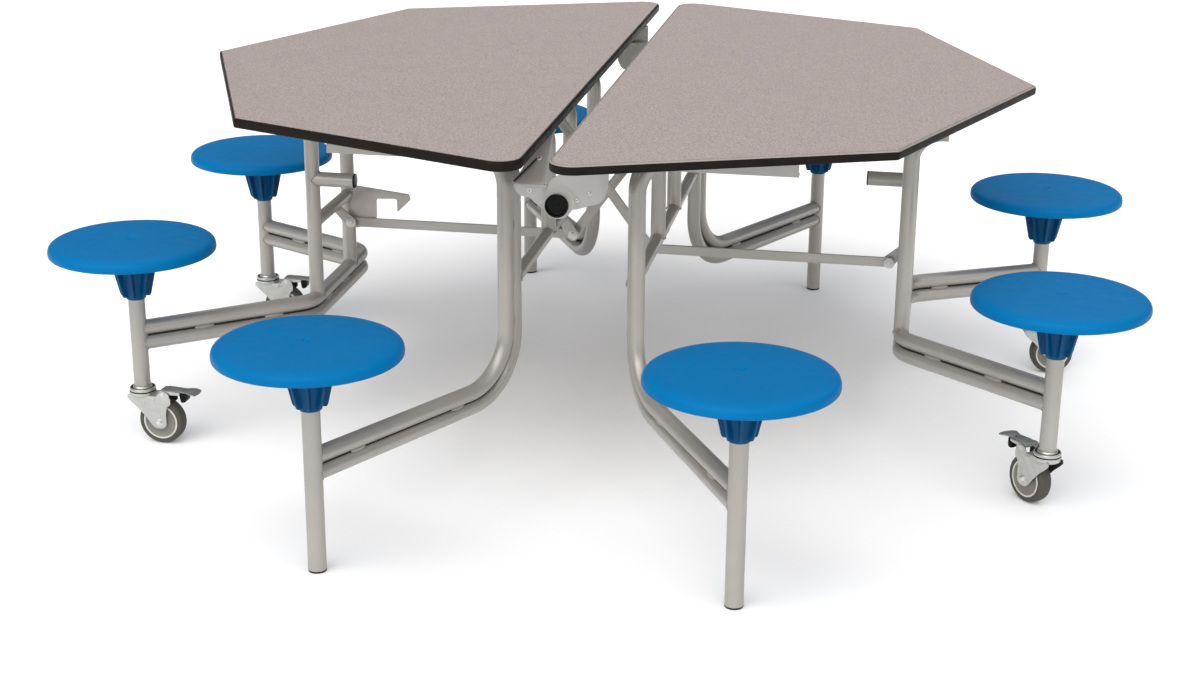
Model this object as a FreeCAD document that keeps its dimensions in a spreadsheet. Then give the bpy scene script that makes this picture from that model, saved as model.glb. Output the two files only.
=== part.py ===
import FreeCAD, Part
import math
import os
import Sketcher
from FreeCAD import Vector, Rotation, Placement

# Folding octagonal table on two castor frames and two inner frames, with eight
# round swivel seats.  Millimetres.  Origin on the floor under the middle of the
# table, +Z up, +X from the left leaf to the right leaf, +Y to the back.  The
# right half is the left half turned 180 degrees about Z.

os.makedirs("parts", exist_ok=True)
doc = FreeCAD.newDocument("FoldingSeatTable")
sheet = doc.addObject("Spreadsheet::Sheet", "Dims")

DIMENSIONS = [
    # top
    ("top_height", 735.0), ("board_thick", 18.0), ("table_radius", 846.6), ("leaf_gap", 45.0),
    ("band_thick", 5.0), ("band_nose", 4.4), ("corner_soft", 40.0), ("corner_small", 7.0),
    # tube sizes
    ("tube_radius", 15.0), ("tube_wall", 2.0), ("cross_radius", 12.5), ("cross_wall", 2.0),
    ("post_radius", 16.5), ("riser_bend_upper", 105.0), ("riser_bend_lower", 122.0),
    ("bend_radius", 60.0), ("rail_pitch", 32.0), ("cope_gap", 6.0),
    # castor frames
    ("outer_post_x", 904.0), ("outer_post_y", 386.0), ("upright_x", 613.0), ("upright_y", 120.0),
    ("rail_front", 148.0), ("rail_back", 230.0),
    ("base_rail_high", 242.0), ("castor_post_low", 121.0), ("post_top", 352.0),
    ("arm_height", 657.5), ("arm_tip_outer", 683.0), ("outer_cross_height", 405.0),
    ("stub_height", 500.0), ("stub_end", 523.0), ("stub_cap_face", 520.0),
    # inner frames
    ("inner_post_x", 370.0), ("inner_post_y", 909.0), ("inner_post_low", 4.0),
    ("inner_rail_high", 217.0), ("riser_upper_x", 125.7), ("riser_upper_y", 464.3),
    ("riser_lower_x", 117.4), ("riser_lower_y", 431.0), ("strut_x", 113.5), ("strut_y", 115.0),
    ("inner_cross_height", 412.0), ("arm_tip_inner", 190.0), ("riser_tip", 184.0),
    # leaf pivots
    ("pivot_height", 681.7), ("pivot_outer_x", 658.0), ("pivot_inner_x", 168.0),
    ("pin_radius", 4.0), ("pin_fit", 0.05), ("barrel_radius", 8.0), ("ear_thick", 4.0),
    ("ear_inside", 10.4), ("riser_barrel_y", 428.0), ("riser_barrel_half", 11.6),
    # centre hinge
    ("shaft_height", 605.0), ("shaft_radius", 19.0), ("shaft_wall", 3.0), ("shaft_half", 600.0),
    ("shaft_cap_radius", 21.5), ("shaft_cap_thick", 7.0), ("plate_thick", 5.0),
    ("near_plate_y", 588.0), ("far_plate_y", 594.0),
    # channels under the leaves
    ("channel_low", 677.0), ("channel_wide", 25.0), ("channel_start", 20.0),
    ("channel_end", 428.0), ("channel_wall", 2.0), ("near_channel_start", 84.0),
    # tie bars, crossing links and latch
    ("lug_bolt_x", 580.0), ("lug_bolt_z", 366.0), ("inner_bolt_x", 90.0), ("inner_bolt_z", 366.0),
    ("bolt_radius", 5.0), ("lug_near", 26.0), ("lug_far", 31.0), ("bar_near", 34.5),
    ("bar_far", 39.5), ("link_near", 40.5), ("link_far", 45.5), ("bar_height", 20.0),
    ("link_end_x", 125.0), ("link_end_z", 659.05), ("link_height", 20.0),
    # seats
    ("seat_radius", 164.6), ("seat_top", 431.0), ("seat_rim_low", 404.5), ("seat_skin", 5.0),
    ("hub_low", 306.0), ("hub_radius", 19.8), ("seat_fit", 0.05), ("rib_thick", 5.0),
    # feet
    ("foot_flat", 14.6), ("foot_plug", 16.0),
    # castors
    ("wheel_radius", 47.5), ("wheel_half", 15.0), ("trail", 41.0), ("stem_fit", 0.05),
    ("fork_inside", 17.5), ("fork_sheet", 2.0), ("crown_low", 99.0), ("crown_high", 104.0),
    ("collar_radius", 27.0), ("collar_high", 120.7), ("axle_radius", 4.0),
    ("pedal_pivot_x", 52.0), ("pedal_pivot_z", 109.5), ("pedal_reach", 125.0),
]
for row, (alias, number) in enumerate(DIMENSIONS, start=1):
    sheet.set("A%d" % row, alias)
    sheet.set("B%d" % row, repr(number))
    sheet.setAlias("B%d" % row, alias)
doc.recompute()


class Size:
    """A sheet value with the expression that gives it, so both stay together."""

    def __init__(self, number, text):
        self.number = float(number)
        self.text = text

    @staticmethod
    def of(other):
        return other if isinstance(other, Size) else Size(other, repr(float(other)))

    def __add__(self, other):
        other = Size.of(other)
        return Size(self.number + other.number, "(%s + %s)" % (self.text, other.text))

    __radd__ = __add__

    def __sub__(self, other):
        other = Size.of(other)
        return Size(self.number - other.number, "(%s - %s)" % (self.text, other.text))

    def __rsub__(self, other):
        return Size.of(other) - self

    def __mul__(self, other):
        other = Size.of(other)
        return Size(self.number * other.number, "(%s * %s)" % (self.text, other.text))

    __rmul__ = __mul__

    def __truediv__(self, other):
        other = Size.of(other)
        return Size(self.number / other.number, "(%s / %s)" % (self.text, other.text))

    def __neg__(self):
        return Size(-self.number, "(0 - %s)" % self.text)


def D(alias):
    return Size(float(sheet.get(alias)), "Dims." + alias)


def num(value):
    return Size.of(value).number


def bind(obj, prop, value):
    obj.setExpression(prop, Size.of(value).text)


HALF_TURN = Placement(Vector(0, 0, 0), Rotation(Vector(0, 0, 1), 180.0))
LEFT = Placement()
SIDES = (("left", LEFT), ("right", HALF_TURN))
NODES = {}


def keep(obj, node, place=None):
    """Marks an object as a finished sub-part with its own label and placement."""
    obj.Label = node
    if place is not None:
        obj.Placement = place.multiply(obj.Placement)
    NODES[node] = obj
    return obj


# ---------------------------------------------------------------- primitives

def box(name, x, y, z):
    """Box between pairs of limits along X, Y and Z."""
    obj = doc.addObject("Part::Box", name)
    bind(obj, "Length", Size.of(x[1]) - x[0])
    bind(obj, "Width", Size.of(y[1]) - y[0])
    bind(obj, "Height", Size.of(z[1]) - z[0])
    for axis, low in (("x", x[0]), ("y", y[0]), ("z", z[0])):
        bind(obj, "Placement.Base." + axis, low)
    return obj


def rod(name, radius, start, length, axis):
    """Cylinder from a start point along one of the axes."""
    obj = doc.addObject("Part::Cylinder", name)
    obj.Placement = Placement(Vector(*[num(v) for v in start]), Rotation(Vector(0, 0, 1), Vector(*axis)))
    bind(obj, "Radius", radius)
    bind(obj, "Height", length)
    for name_, value in zip("xyz", start):
        bind(obj, "Placement.Base." + name_, value)
    return obj


def fuse(name, shapes):
    if len(shapes) == 1:
        return shapes[0]
    obj = doc.addObject("Part::MultiFuse", name)
    obj.Shapes = shapes
    return obj


def cut(name, base, tools):
    obj = doc.addObject("Part::Cut", name)
    obj.Base = base
    obj.Tool = fuse(name + "_tools", tools)
    return obj


def group(name, links):
    obj = doc.addObject("Part::Compound", name)
    obj.Links = links
    return obj


def bent_wire(points, radii):
    """Straight runs joined by tangent arcs."""
    points = [Vector(*[num(v) for v in p]) for p in points]
    radii = [num(r) for r in radii]
    edges = []
    start = points[0]
    for index in range(1, len(points) - 1):
        corner = points[index]
        back = (points[index - 1] - corner)
        back.normalize()
        onward = (points[index + 1] - corner)
        onward.normalize()
        half = (math.pi - back.getAngle(onward)) / 2.0
        radius = radii[index - 1]
        first = corner + back * (radius * math.tan(half))
        last = corner + onward * (radius * math.tan(half))
        middle = back + onward
        middle.normalize()
        centre = corner + middle * (radius / math.cos(half))
        if (first - start).Length > 1e-6:
            edges.append(Part.LineSegment(start, first).toShape())
        edges.append(Part.Arc(first, centre - middle * radius, last).toShape())
        start = last
    edges.append(Part.LineSegment(start, points[-1]).toShape())
    return Part.Wire(edges)


def bar(name, points, radii, radius):
    """Round bar swept along a bent centre line."""
    path = doc.addObject("Part::Feature", name + "_line")
    path.Shape = bent_wire(points, radii)
    ring = doc.addObject("Part::Circle", name + "_ring")
    bind(ring, "Radius", radius)
    first = Vector(*[num(v) for v in points[0]])
    second = Vector(*[num(v) for v in points[1]])
    ring.Placement = Placement(first, Rotation(Vector(0, 0, 1), second - first))
    sweep = doc.addObject("Part::Sweep", name)
    sweep.Sections = [ring]
    sweep.Spine = (path, ["Edge%d" % (n + 1) for n in range(len(path.Shape.Edges))])
    sweep.Solid = True
    sweep.Frenet = False
    return sweep


# ------------------------------------------------------- bodies with sketches

def new_body(name):
    return doc.addObject("PartDesign::Body", name)


def sketch(body, name, role, offset=None):
    face = [f for f in body.Origin.OriginFeatures if f.Role == role][0]
    obj = body.newObject("Sketcher::SketchObject", name)
    obj.AttachmentSupport = [(face, "")]
    obj.MapMode = "FlatFace"
    if offset is not None:
        obj.AttachmentOffset = Placement(Vector(0, 0, num(offset)), Rotation())
        bind(obj, "AttachmentOffset.Base.z", offset)
    return obj


def pin_point(obj, geometry, spot, x, y):
    for kind, axis, value in (("DistanceX", -2, x), ("DistanceY", -1, y)):
        if abs(num(value)) < 1e-9:
            obj.addConstraint(Sketcher.Constraint("PointOnObject", geometry, spot, axis))
        else:
            index = obj.addConstraint(Sketcher.Constraint(kind, -1, 1, geometry, spot, num(value)))
            if isinstance(value, Size):
                bind(obj, "Constraints[%d]" % index, value)


def outline(obj, points):
    """Closed polygon with every corner held by the sheet or a plain number."""
    base = obj.GeometryCount
    count = len(points)
    for index in range(count):
        a, b = points[index], points[(index + 1) % count]
        obj.addGeometry(Part.LineSegment(Vector(num(a[0]), num(a[1]), 0), Vector(num(b[0]), num(b[1]), 0)), False)
    for index in range(count):
        obj.addConstraint(Sketcher.Constraint("Coincident", base + index, 2, base + (index + 1) % count, 1))
    for index in range(count):
        pin_point(obj, base + index, 1, points[index][0], points[index][1])


def ring(obj, x, y, radius):
    index = obj.addGeometry(Part.Circle(Vector(num(x), num(y), 0), Vector(0, 0, 1), num(radius)), False)
    pin_point(obj, index, 3, x, y)
    held = obj.addConstraint(Sketcher.Constraint("Radius", index, num(radius)))
    if isinstance(radius, Size):
        bind(obj, "Constraints[%d]" % held, radius)


def pad(body, profile, length, midplane=False):
    obj = body.newObject("PartDesign::Pad", profile.Name + "_pad")
    obj.Profile = profile
    bind(obj, "Length", length)
    obj.Midplane = midplane
    profile.Visibility = False
    return obj


def soften(body, feature, radius, test):
    """Fillet on the edges of a feature that the test picks."""
    doc.recompute()
    names = ["Edge%d" % (n + 1) for n, e in enumerate(feature.Shape.Edges) if test(e)]
    if not names:
        raise RuntimeError("no edges to round on " + body.Name)
    obj = body.newObject("PartDesign::Fillet", feature.Name + "_soft")
    obj.Base = (feature, names)
    bind(obj, "Radius", radius)
    body.Tip = obj
    doc.recompute()
    return obj


def lathe(name, points):
    """Solid of revolution about the body's Z from (radius, height) points."""
    body = new_body(name)
    profile = sketch(body, name + "_profile", "XZ_Plane")
    outline(profile, points)
    obj = body.newObject("PartDesign::Revolution", name + "_turn")
    obj.Profile = profile
    obj.ReferenceAxis = (profile, ["V_Axis"])
    obj.Angle = 360.0
    body.Tip = obj
    return body


def flat_plate(name, points, near, far, holes=(), soft=()):
    """Plate in an XZ plane between two Y values, holes as (x, z, radius) and
    soft as (radius, [(x, z), ...]) for the corners that are rounded."""
    body = new_body(name)
    profile = sketch(body, name + "_face", "XZ_Plane", -Size.of(far))
    outline(profile, points)
    for x, z, radius in holes:
        ring(profile, x, z, radius)
    feature = pad(body, profile, Size.of(far) - near)
    body.Tip = feature
    for radius, corners in soft:
        def at_corner(edge, corners=corners):
            a, b = edge.Vertexes[0].Point, edge.Vertexes[-1].Point
            if abs(a.x - b.x) > 1e-3 or abs(a.z - b.z) > 1e-3 or abs(a.y - b.y) < 1.0:
                return False
            return any(math.hypot(a.x - num(x), a.z - num(z)) < 0.05 for x, z in corners)
        feature = soften(body, feature, radius, at_corner)
    return body


def side_plate(name, points, low, high):
    """Bent strip drawn as (y, z) points and carried between two X values."""
    body = new_body(name)
    profile = sketch(body, name + "_face", "YZ_Plane", low)
    outline(profile, points)
    body.Tip = pad(body, profile, high - low)
    return body


# ------------------------------------------------------------------ the leaves

TAN = math.tan(math.pi / 8.0)
COS = math.cos(math.pi / 8.0)
DIAG = math.sqrt(0.5)


def leaf_corners(inset):
    """Half octagon, set in by a distance, left of the gap."""
    radius = D("table_radius") - inset / COS
    edge = D("leaf_gap") / 2 + inset
    tip = radius - edge * TAN
    return [(-edge, -tip), (-radius * DIAG, -radius * DIAG), (-radius, 0.0),
            (-radius * DIAG, radius * DIAG), (-edge, tip)]


def upright_edge(corners):
    def test(edge):
        a, b = edge.Vertexes[0].Point, edge.Vertexes[-1].Point
        if math.hypot(a.x - b.x, a.y - b.y) > 1e-3:
            return False
        return any(math.hypot(a.x - num(x), a.y - num(y)) < 0.05 for x, y in corners)
    return test


def make_top(side, place):
    low = D("top_height") - D("board_thick")
    band = D("band_thick")
    inner = leaf_corners(band)
    outer = leaf_corners(Size.of(0.0))

    body = new_body("board_" + side)
    face = sketch(body, "board_face_" + side, "XY_Plane", low)
    outline(face, inner)
    feature = pad(body, face, D("board_thick"))
    feature = soften(body, feature, D("corner_soft") - band, upright_edge([inner[0], inner[4]]))
    feature = soften(body, feature, D("corner_small") - band, upright_edge(inner[1:4]))
    keep(body, "tabletop_" + side, place)

    body = new_body("band_" + side)
    face = sketch(body, "band_face_" + side, "XY_Plane", low)
    outline(face, outer)
    outline(face, inner)
    feature = pad(body, face, D("board_thick"))
    feature = soften(body, feature, D("corner_soft") - band, upright_edge([inner[0], inner[4]]))
    feature = soften(body, feature, D("corner_small") - band, upright_edge(inner[1:4]))
    feature = soften(body, feature, D("corner_soft"), upright_edge([outer[0], outer[4]]))
    feature = soften(body, feature, D("corner_small"), upright_edge(outer[1:4]))
    wall = [w for w in feature.Shape.Wires]
    widest = 0.0
    for w in wall:
        widest = max(widest, w.BoundBox.XLength)
    rim_edges = []
    for w in wall:
        if abs(w.BoundBox.XLength - widest) < 1e-3 and w.BoundBox.ZLength < 1e-3:
            rim_edges.extend(w.Edges)

    def on_rim(edge):
        return any(edge.isSame(e) for e in rim_edges)
    feature = soften(body, feature, D("band_nose"), on_rim)
    keep(body, "edge_band_" + side, place)


def pivot_bracket(name, x, y, half):
    """Barrel on a web under the leaf, with its screw plate and two screw heads."""
    under = D("top_height") - D("board_thick")
    z = D("pivot_height")
    x, y, half = Size.of(x), Size.of(y), Size.of(half)
    plate = box(name + "_plate", (x - 25, x + 25), (y - half - 14, y + half + 14), (under - 3, under))
    web = box(name + "_web", (x - 3, x + 3), (y - half, y + half), (z, under - 3))
    barrel = rod(name + "_barrel", D("barrel_radius"), (x, y - half, z), half * 2, (0, 1, 0))
    bore = rod(name + "_bore", D("pin_radius") + D("pin_fit"), (x, y - half - 1, z), half * 2 + 2, (0, 1, 0))
    heads = []
    for tag, dx in (("a", -16), ("b", 16)):
        for tig, sign in (("c", -1), ("d", 1)):
            heads.append(rod(name + "_screw_" + tag + tig, 3.6, (x + dx, y + sign * (half + 7), under - 5), 2.0, (0, 0, 1)))
    return cut(name, fuse(name + "_solid", [plate, web, barrel] + heads), [bore])


def channel(name, start, low_y, high_y, open_side):
    """Folded steel channel along X under the leaf, open towards the middle."""
    under = D("top_height") - D("board_thick")
    wall = D("channel_wall")
    x = (-D("channel_end"), -start)
    solid = box(name + "_solid", x, (low_y, high_y), (D("channel_low"), under))
    if open_side > 0:
        hollow_y = (low_y + wall, high_y + 1)
    else:
        hollow_y = (low_y - 1, high_y - wall)
    hollow = box(name + "_hollow", (x[0] - 1, x[1] + 1), hollow_y, (D("channel_low") + wall, under - wall))
    return cut(name, solid, [hollow])


def make_underframe(side, place):
    tag = "_" + side
    under = D("top_height") - D("board_thick")
    pieces = [
        # the near channel stops where the bent tab of the hinge plate begins
        channel("front_channel" + tag, D("near_channel_start"), -D("near_plate_y"), -D("near_plate_y") + D("channel_wide"), 1),
        channel("back_channel" + tag, D("channel_start"), D("far_plate_y") - D("channel_wide"), D("far_plate_y"), -1),
    ]
    for end, sign in (("front", -1), ("back", 1)):
        pieces.append(pivot_bracket("outer_bracket_%s%s" % (end, tag), -D("pivot_outer_x"), sign * D("upright_y"), 10.0))
        pieces.append(pivot_bracket("strut_bracket_%s%s" % (end, tag), -D("pivot_inner_x"), sign * D("strut_y"), 10.0))
        pieces.append(pivot_bracket("riser_bracket_%s%s" % (end, tag), -D("pivot_inner_x"), sign * D("riser_barrel_y"),
                                    D("riser_barrel_half")))
    # lug that takes the upper end of the crossing link from the other side
    x, z = -D("link_end_x"), D("link_end_z")
    lug = flat_plate("link_lug" + tag, [(x - 13, under - 3), (x - 13, z - 4), (x - 5, z - 13), (x + 5, z - 13),
                                       (x + 13, z - 4), (x + 13, under - 3)], -D("bar_far"), -D("bar_near"))
    flange = box("link_flange" + tag, (x - 30, x + 30), (-D("bar_far"), Size.of(-12.0)), (under - 3, under))
    shank = rod("link_bolt" + tag, D("bolt_radius"), (x, -D("link_far") - 4, z), D("link_far") + 4 - D("bar_near"), (0, 1, 0))
    head = rod("link_head" + tag, 9.0, (x, -D("link_far") - 5, z), 4.5, (0, 1, 0))
    pieces.append(fuse("link_bracket" + tag, [lug, flange, shank, head]))
    keep(group("underframe" + tag, pieces), "leaf_underframe_" + side, place)


def make_hinge_plates(side, place):
    """One shaft plate at each end of the leaf; the fixed leaf's plates grip the
    shaft and the other leaf's plates run on it."""
    tag = "_" + side
    under = D("top_height") - D("board_thick")
    hole = D("shaft_radius") + (0.03 if side == "left" else 0.06)
    axis = D("shaft_height")
    near = flat_plate(
        "near_plate" + tag,
        [(-80, 640), (-77, 627), (-70, 618), (-46, 613), (-30, 602), (-25.5, 592), (-17, 584),
         (-6, 580), (6, 580), (17, 584), (24, 592), (26, 605), (23, 617), (14, 627), (0, 633), (-14, 637),
         (-25, 640)],
        -D("near_plate_y") - D("plate_thick"), -D("near_plate_y"),
        holes=[(0.0, axis, hole), (-51.0, 628.0, 4.2)])
    # the sheet bends back above the shaft and slopes up to the underside of the leaf
    face_y = -D("near_plate_y") - D("plate_thick")
    flange = side_plate(
        "near_flange" + tag,
        [(face_y, 634), (face_y, 640), (face_y + 93, under), (face_y + 115, under), (face_y + 115, under - 3),
         (face_y + 94.2, under - 3), (-D("near_plate_y"), 640.1), (-D("near_plate_y"), 634)],
        Size.of(-80.0), Size.of(-25.0))
    far = flat_plate(
        "far_plate" + tag,
        [(14, 648), (6, 656), (-24, 668), (-26, under), (-92, under), (-92, 659), (-91, 633), (-82, 613),
         (-57, 606), (-36, 599), (-26, 597), (-19, 586), (-8, 580), (4, 579.5), (16, 583.5), (24, 592.5),
         (26.5, 605), (23, 622), (18, 636)],
        D("far_plate_y"), D("far_plate_y") + D("plate_thick"),
        holes=[(0.0, axis, hole), (-59.0, 630.0, 4.2), (-34.0, 620.0, 4.2)],
        soft=[(8.0, [(-24, 668), (-92, 659), (-82, 613)])])
    keep(group("plates" + tag, [fuse("near_plate_set" + tag, [near, flange]), far]), "hinge_plates_" + side, place)


def make_shaft():
    outer = rod("shaft_skin", D("shaft_radius"), (0.0, -D("shaft_half"), D("shaft_height")), D("shaft_half") * 2, (0, 1, 0))
    inner = rod("shaft_hollow", D("shaft_radius") - D("shaft_wall"), (0.0, -D("shaft_half") - 1, D("shaft_height")),
                D("shaft_half") * 2 + 2, (0, 1, 0))
    keep(cut("shaft_tube", outer, [inner]), "centre_shaft")
    caps = []
    plug = D("shaft_radius") - D("shaft_wall") - 0.05
    for name, turn, y in (("front_cap", 90.0, -1), ("back_cap", -90.0, 1)):
        thick = D("shaft_cap_thick")
        rim = D("shaft_cap_radius")
        cap = lathe(name, [(0.0, -15.0), (plug, -15.0), (plug, 0.0), (rim, 0.0), (rim, thick - 2.5),
                           (rim - 0.8, thick - 0.9), (rim - 2.6, thick), (0.0, thick)])
        cap.Placement = Placement(Vector(0, y * num(D("shaft_half")), num(D("shaft_height"))),
                                  Rotation(Vector(1, 0, 0), turn))
        caps.append(cap)
    keep(group("shaft_caps", caps), "shaft_end_caps")


# ------------------------------------------------------------ the castor frames

def base_rail_points(height, side):
    """Centre line of a base rail, ending just short of the post axes. The two
    frames are mirror images here: the corner near the front is closer in."""
    px, py, ux = num(D("outer_post_x")), num(D("outer_post_y")), num(D("upright_x"))
    front, back = num(D("rail_front")), num(D("rail_back"))
    if side == "right":
        front, back = back, front
    z = num(height)
    ends = []
    for corner, post in ((-front, -py), (back, py)):
        short = num(D("cope_gap")) / math.hypot(px - ux, post - corner)
        ends.append((-(px - (px - ux) * short), post - (post - corner) * short, z))
    return [ends[0], (-ux, -front, z), (-ux, back, z), ends[1]]


def tube(name, points, radii, radius, wall, tools):
    skin = bar(name + "_skin", points, radii, radius)
    hollow = bar(name + "_hollow", points, radii, radius - wall)
    return cut(name, skin, [hollow] + tools)


def post_core(name, x, y, low, high):
    return rod(name, D("post_radius"), (x, y, low), Size.of(high) - low, (0, 0, 1))


def post_tube(name, x, y, low, high):
    outer = rod(name + "_skin", D("post_radius"), (x, y, low), Size.of(high) - low, (0, 0, 1))
    inner = rod(name + "_hollow", D("post_radius") - D("tube_wall"), (x, y, Size.of(low) - 1), Size.of(high) - low + 2, (0, 0, 1))
    return cut(name, outer, [inner])


def pivot_ears(name, x, y, ear_ys, pin_span):
    """Ear plates standing on an arm, with the cross pin welded in them."""
    z = D("pivot_height")
    x, y = Size.of(x), Size.of(y)
    made = []
    for number, (low, high) in enumerate(ear_ys):
        plate = box("%s_ear%d" % (name, number), (x - 13, x + 13), (y + low, y + high), (Size.of(655.0), z))
        tip = rod("%s_tip%d" % (name, number), 10.0, (x, y + low, z), Size.of(high) - low, (0, 1, 0))
        made += [plate, tip]
    made.append(rod(name + "_pin", D("pin_radius"), (x, y + pin_span[0], z), Size.of(pin_span[1]) - pin_span[0], (0, 1, 0)))
    return made


def lug_outline(bolt_x, bolt_z, tube_x, tube_z):
    """Plate from the underside of a cross tube to a bolt below and inside it."""
    return [(tube_x - 12, tube_z - 6), (tube_x + 12, tube_z - 6), (bolt_x + 11, bolt_z + 8), (bolt_x + 13, bolt_z - 3),
            (bolt_x + 6, bolt_z - 12), (bolt_x - 6, bolt_z - 12), (bolt_x - 16, bolt_z + 1)]


def bolt_stack(name, x, z):
    """Bolt through a lug with its washer, head and nut."""
    return [
        rod(name + "_shank", D("bolt_radius"), (x, D("lug_near") - 5, z), D("link_far") + 5 - D("lug_near") + 5, (0, 1, 0)),
        rod(name + "_spacer", 8.0, (x, D("lug_far"), z), D("bar_near") - D("lug_far") - 0.4, (0, 1, 0)),
        rod(name + "_head", 9.0, (x, D("link_far") + 0.5, z), 4.5, (0, 1, 0)),
        rod(name + "_nut", 8.5, (x, D("lug_near") - 5, z), 5.0, (0, 1, 0)),
    ]


def make_castor_frame(side, place):
    tag = "_" + side
    r, wall, bend = D("tube_radius"), D("tube_wall"), D("bend_radius")
    px, py = -D("outer_post_x"), D("outer_post_y")
    ux, uy = -D("upright_x"), D("upright_y")
    high = D("base_rail_high")
    low = high - D("rail_pitch")
    for word, z in (("upper", high), ("lower", low)):
        posts = [post_core("cope_%s_%s%d" % (word, side, n), px, s * py, D("castor_post_low"), D("post_top"))
                 for n, s in enumerate((-1, 1))]
        keep(tube("base_rail_%s_tube%s" % (word, tag), base_rail_points(z, side), [bend, bend], r, wall, posts),
             "base_rail_%s_%s" % (word, side), place)

    tubes = [post_tube("castor_post_%s%s" % (w, tag), px, s * py, D("castor_post_low"), D("post_top"))
             for w, s in (("front", -1), ("back", 1))]
    keep(group("castor_post_pair" + tag, tubes), "castor_posts_" + side, place)

    # two uprights with their bent arms, the cross tube, the bumper stub and the lug
    arm = D("arm_height")
    skins, hollows = [], []
    for word, s in (("front", -1), ("back", 1)):
        run = [(ux, s * uy, high + 4), (ux, s * uy, arm), (-D("arm_tip_outer"), s * uy, arm)]
        skins.append(bar("upright_%s_skin%s" % (word, tag), run, [bend], r))
        hollows.append(bar("upright_%s_hollow%s" % (word, tag), run, [bend], r - wall))
        skins += pivot_ears("outer_ears_%s%s" % (word, tag), -D("pivot_outer_x"), s * uy,
                            [(-D("ear_inside") - D("ear_thick"), -D("ear_inside")), (D("ear_inside"), D("ear_inside") + D("ear_thick"))],
                            (-D("ear_inside") - D("ear_thick") - 2, D("ear_inside") + D("ear_thick") + 2))
    cross_z = D("outer_cross_height")
    skins.append(rod("outer_cross_skin" + tag, D("cross_radius"), (ux, -uy, cross_z), uy * 2, (0, 1, 0)))
    hollows.append(rod("outer_cross_hollow" + tag, D("cross_radius") - D("cross_wall"), (ux, -uy + 16, cross_z), uy * 2 - 32, (0, 1, 0)))
    skins.append(rod("stub_skin" + tag, r, (ux, -uy, D("stub_height")), D("upright_x") - D("stub_end"), (1, 0, 0)))
    hollows.append(rod("stub_hollow" + tag, r - wall, (ux + 17, -uy, D("stub_height")), D("upright_x") - D("stub_end") - 16, (1, 0, 0)))
    bx, bz = -D("lug_bolt_x"), D("lug_bolt_z")
    skins.append(flat_plate("outer_lug" + tag, lug_outline(bx, bz, ux, cross_z), D("lug_near"), D("lug_far")))
    skins += bolt_stack("outer_bolt" + tag, bx, bz)
    rail = bar("upright_cope" + tag, base_rail_points(high, side), [bend, bend], r)
    keep(cut("uprights" + tag, fuse("uprights_solid" + tag, skins), hollows + [rail]), "castor_uprights_" + side, place)

    plug = r - wall - 0.05
    cap = lathe("stub_cap_turned" + tag, [(0.0, -12.0), (plug, -12.0), (plug, 0.0), (r, 0.0), (r, 1.8), (r - 1.2, 3.0), (0.0, 3.0)])
    cap.Placement = Placement(Vector(-num(D("stub_end")), -num(uy), num(D("stub_height"))), Rotation(Vector(0, 1, 0), 90.0))
    keep(cap, "stub_cap_" + side, place)


# ------------------------------------------------------------- the inner frames

def riser_points(end, rail_z, riser_x, riser_y):
    """Centre line from the seat post, along the floor, up the riser and over
    to the tip under the leaf."""
    px, py = num(D("inner_post_x")), num(D("inner_post_y"))
    rx, ry = num(riser_x), num(riser_y)
    ax, ay = num(D("riser_upper_x")), num(D("riser_upper_y"))
    run = math.hypot(px - ax, py - ay)
    dx, dy = (px - ax) / run, (py - ay) / run
    gap = num(D("cope_gap"))
    z, top = num(rail_z), num(D("arm_height"))
    reach = (num(D("riser_tip")) - rx) / dy
    return [(-(px - dx * gap), end * (py - dy * gap), z), (-rx, end * ry, z), (-rx, end * ry, top),
            (-(rx + dy * reach), end * (ry - dx * reach), top)]


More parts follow.
